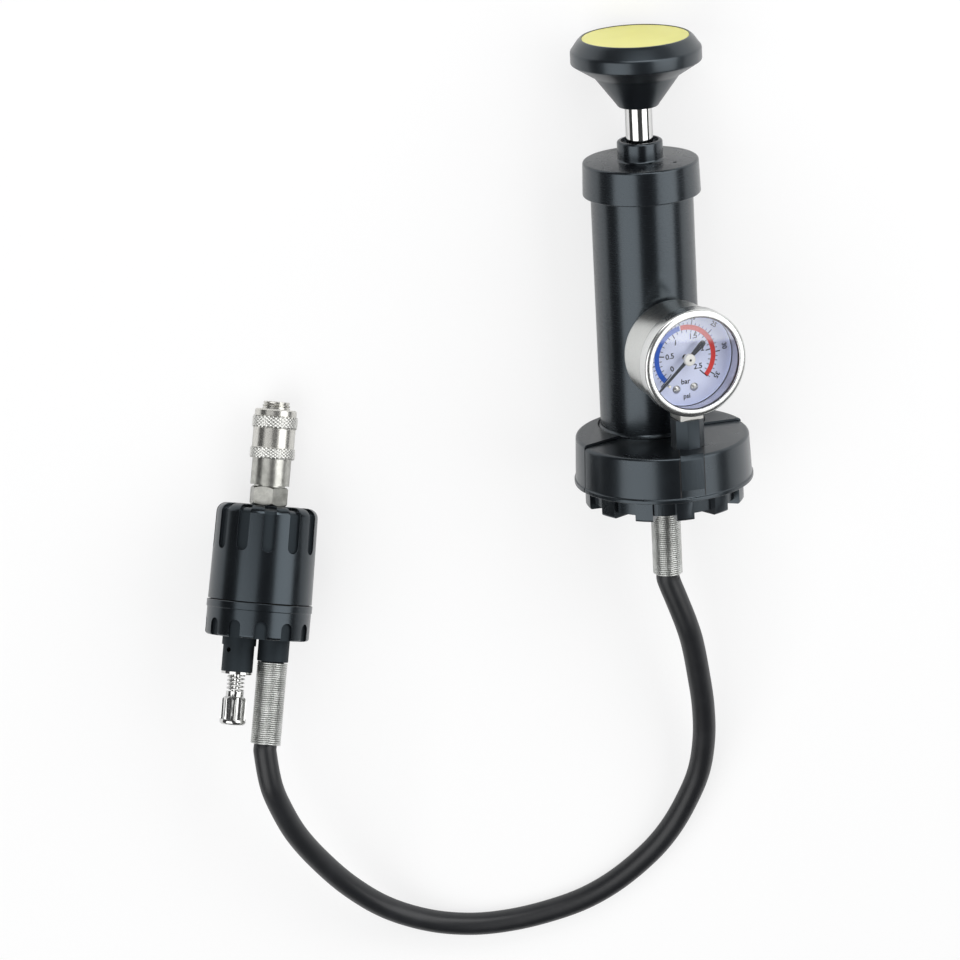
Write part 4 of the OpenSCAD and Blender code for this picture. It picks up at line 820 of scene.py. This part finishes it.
# Within this radius and below this height on the shell, the colour is painted nearly black: painted
# shade in the flutes.
flute_r, flute_top = 0.0244, -0.0025
shell_plastic = moulded("shell_plastic", (0.0025, 0.0028, 0.0035), (0.004, 0.0045, 0.0055),
                        0.21, 0.2, 0.000006, (HEAD, flute_r, flute_top))
eased("fluted_shell", "valve_shell", 0.35, 3, material=shell_plastic, axis=HEAD)
eased("notched_ring", "lower_ring", 0.35, 3, material=shell_plastic, axis=HEAD)
eased("hose_socket", "hose_boss", 0.4, 3, material=shell_plastic)
eased("release_body", "release_bush", 0.4, 3, material=shell_plastic)

dark_brass, w, shader, here = finish("dark_brass", metallic=0.5)
tarnish = w.noise(here, 300.0, 4.0, 0.6)
feed(w, shader, w.blend(tarnish, (0.02, 0.016, 0.01, 1), (0.045, 0.034, 0.018, 1)),
     0.5 + 0.2 * tarnish, tarnish, 0.00002, 0.3)
dress(dark_brass, "valve_core")

# ---- Release valve ----
# A plated knob with eight grooves on a stem. Pressed against its spring it opens the seal.

bright_plate, w, shader, here = finish("bright_plate", metallic=1.0)
wear = w.noise(here, 240.0, 4.0, 0.6)
fine = w.noise(here, 1600.0, 3.0, 0.6)
feed(w, shader, w.blend(wear, (0.6, 0.6, 0.59, 1), (0.74, 0.74, 0.73, 1)),
     0.08 + 0.12 * wear, fine, 0.000002, 0.3)
eased("release_button", "release_knob", 0.35, 3, 25.0, bright_plate)
dress(bright_plate, "release_washer")
for name, node, place, radius, low, length, turns, thick in (
        ("release_valve_spring", "release_spring", HEAD @ Matrix.Translation((-8.4, 0, 0)),
         3.9, -91.85, 7.5, 4.0, 1.0),
        ("sleeve_return_spring", "sleeve_spring", HEAD, 8.9, 29.05, 13.2, 4.0, 0.7),
        ("inner_valve_spring", "coupler_valve_spring", HEAD, 4.3, 17.2, 9.0, 4.0, 0.8)):
    spring = grown(name, wound_tree, {
        "Radius": radius, "Length": length, "Turns": turns, "Wire": thick,
        "Material": bright_plate}, place @ Matrix.Translation((0, 0, low)))
    fit(spring, node)

# ---- Quick coupler ----
# A plated body with a hexagon is screwed into the shell. Its sleeve, gripped by two knurled
# bands, is pulled back to free six balls that lock the plug.

nickel, w, shader, here = finish("nickel", metallic=1.0)
cloud = w.noise(here, 130.0, 4.0, 0.6)
pits = w.noise(here, 2600.0, 3.0, 0.7)
feed(w, shader, w.blend(cloud, (0.6, 0.59, 0.55, 1), (0.74, 0.73, 0.69, 1)),
     0.2 + 0.16 * pits, pits, 0.000004, 0.35)
hex_nickel, w, shader, here = finish("hex_nickel", metallic=1.0)
stain = w.noise(here, 260.0, 4.0, 0.6)
feed(w, shader, w.blend(stain.step(0.3, 0.7), (0.42, 0.42, 0.39, 1), (0.6, 0.6, 0.56, 1)),
     0.24 + 0.14 * stain, stain, 0.000004, 0.2)
eased("coupler_hexagon", "coupler_body", 0.25, 2, material=hex_nickel)
eased("plug_nozzle", "coupler_nozzle", 0.12, 2, material=nickel)
dress(bright_plate, "locking_balls")

knurl_tree, w, given = sized_tree("diamond_knurl", {
    "Columns": "Int", "Rows": "Int", "Radius": "Float", "Height": "Float", "Low": "Float",
    "Proud": "Float", "Material": "Material"})
index = w.add("GeometryNodeInputIndex")
row = w.math("FLOOR", (index + 0.5) / given["Columns"])
column = index - row * given["Columns"]
lead = row - 2 * w.math("FLOOR", row * 0.5 + 0.25)
angle = (column + 0.5 * lead) * (2 * math.pi) / given["Columns"]
rise = given["Low"] + given["Height"] * (row + 0.5) / given["Rows"]
spots = w.add("GeometryNodeMeshLine", {}, {
    "Count": given["Columns"] * given["Rows"], "Offset": (0, 0, 0)})
spots = w.add("GeometryNodeSetPosition", {}, {"Geometry": spots, "Position": w.add(
    "ShaderNodeCombineXYZ", {}, {"X": given["Radius"] * w.math("COSINE", angle),
                                 "Y": given["Radius"] * w.math("SINE", angle), "Z": rise})})
diamond = w.add("GeometryNodeMeshCone", {}, {
    "Vertices": 4, "Radius Top": 0.2, "Radius Bottom": 0.98, "Depth": given["Proud"]})
diamonds = w.add("GeometryNodeInstanceOnPoints", {}, {
    "Points": spots, "Instance": diamond, "Rotation": w.add("ShaderNodeCombineXYZ", {}, {
        "X": 0.0, "Y": math.pi / 2, "Z": angle})})
close_tree(w, diamonds, given["Material"], False)

sleeve = turned("coupler_grip_sleeve", [
    (9.66, 23.0), (10.4, 23.0), (10.7, 23.3), (10.7, 28.3), (10.4, 28.6), (10.4, 37.9),
    (10.75, 38.2), (10.75, 43.9), (10.3, 44.2), (10.3, 46.7), (9.7, 47.4), (8.26, 47.4),
    (8.26, 42.7), (9.66, 42.7)], 128, HEAD)
dress(nickel, sleeve)
fit(sleeve, "coupler_sleeve")
knurl_nickel, w, shader, here = finish("knurl_nickel", metallic=0.9)
fine = w.noise(here, 1500.0, 3.0, 0.6)
feed(w, shader, w.blend(fine, (0.66, 0.66, 0.63, 1), (0.82, 0.82, 0.79, 1)), 0.3 + 0.15 * fine)
# The root under the diamonds is painted dark metal: painted shade in the grooves of the knurl.
knurl_root, w, shader, here = finish("knurl_root", metallic=0.8)
root_shade_tone = w.noise(here, 700.0, 3.0, 0.6)
feed(w, shader, w.blend(root_shade_tone, (0.09, 0.09, 0.08, 1), (0.2, 0.2, 0.18, 1)), 0.4 + 0.15 * root_shade_tone)
root_deep, root_over = 0.3, 0.2
for name, low, high, radius in (
        ("lower_knurl", 23.6, 28.0, 10.74), ("upper_knurl", 38.5, 43.6, 10.79)):
    root = turned(name + "_root", [
        (radius - root_deep, low - root_over), (radius, low - root_over),
        (radius, high + root_over), (radius - root_deep, high + root_over)], 96, HEAD)
    dress(knurl_root, root)
    fit(root, body="sleeve", slot="steel")
    knurl = grown(name, knurl_tree, {
        "Columns": 32, "Rows": 6, "Radius": radius, "Height": high - low, "Low": low,
        "Proud": 0.36, "Material": knurl_nickel}, HEAD)
    fit(knurl, body="sleeve", slot="steel")

# ---- Surface, light and background ----
# A pale surface, three softboxes and a plain room. The camera sees white behind the tester.
# Metal, glass and glossy plastic see a darker room, so that the softboxes stand out in them.

floor = mesh_piece("surface", [(-4, -4, 0), (4, -4, 0), (4, 4, 0), (-4, 4, 0)], [(0, 1, 2, 3)])
pale, w, shader, here = finish("pale_surface")
feed(w, shader, (0.92, 0.92, 0.92, 1), 0.9)
glow = w.add("ShaderNodeEmission", {}, {"Color": (1, 1, 1, 1), "Strength": 1.0})
seen = w.add("ShaderNodeLightPath", {}, {}, "Is Camera Ray")
mixed = w.add("ShaderNodeMixShader", {}, {
    0: 0.7 * seen, 1: Wire(w.tree, shader.outputs[0]), 2: glow})
w.tree.links.new(mixed.socket, w.tree.nodes["Material Output"].inputs[0])
floor.data.materials.append(pale)

world = bpy.data.worlds.new("studio")
scene.world = world
world.use_nodes = True
room = Wire(world.node_tree)
ray = world.node_tree.nodes.new("ShaderNodeLightPath")
straight = Wire(world.node_tree, ray.outputs["Is Camera Ray"])
shine = Wire(world.node_tree, ray.outputs["Is Glossy Ray"])
backdrop = world.node_tree.nodes["Background"]
fill, seen_more, shine_less = 0.22, 0.78, 0.16
world.node_tree.links.new((fill + seen_more * straight - shine_less * shine).socket,
                          backdrop.inputs[1])
backdrop.inputs[0].default_value = (0.97, 0.98, 1, 1)


def softbox(name, lean, rise, distance, size, power, aim=(0.0, -0.05, 0.03)):
    """A softbox that hangs over the tester, leaned to its right and towards its knob end by
    some degrees."""
    light = bpy.data.lights.new(name, "AREA")
    light.shape, light.size, light.size_y, light.energy = "RECTANGLE", size[0], size[1], power
    obj = bpy.data.objects.new(name, light)
    scene.collection.objects.link(obj)
    across, along = math.radians(lean), math.radians(rise)
    direction = Vector((math.sin(across) * math.cos(along), math.sin(along),
                        math.cos(across) * math.cos(along)))
    side = Vector((0, 1, 0)).cross(direction).normalized()
    obj.matrix_world = Matrix.Translation(Vector(aim) + distance * direction) @ Matrix(
        (side, direction.cross(side), direction)).transposed().to_4x4()


softbox("left_softbox", -32, -15, 1.4, (1.25, 1.6), 12)
softbox("right_softbox", 52, 16, 2.0, (1.62, 2.4), 28)
softbox("end_softbox", 8, 52, 1.6, (1.3, 0.7), 9)
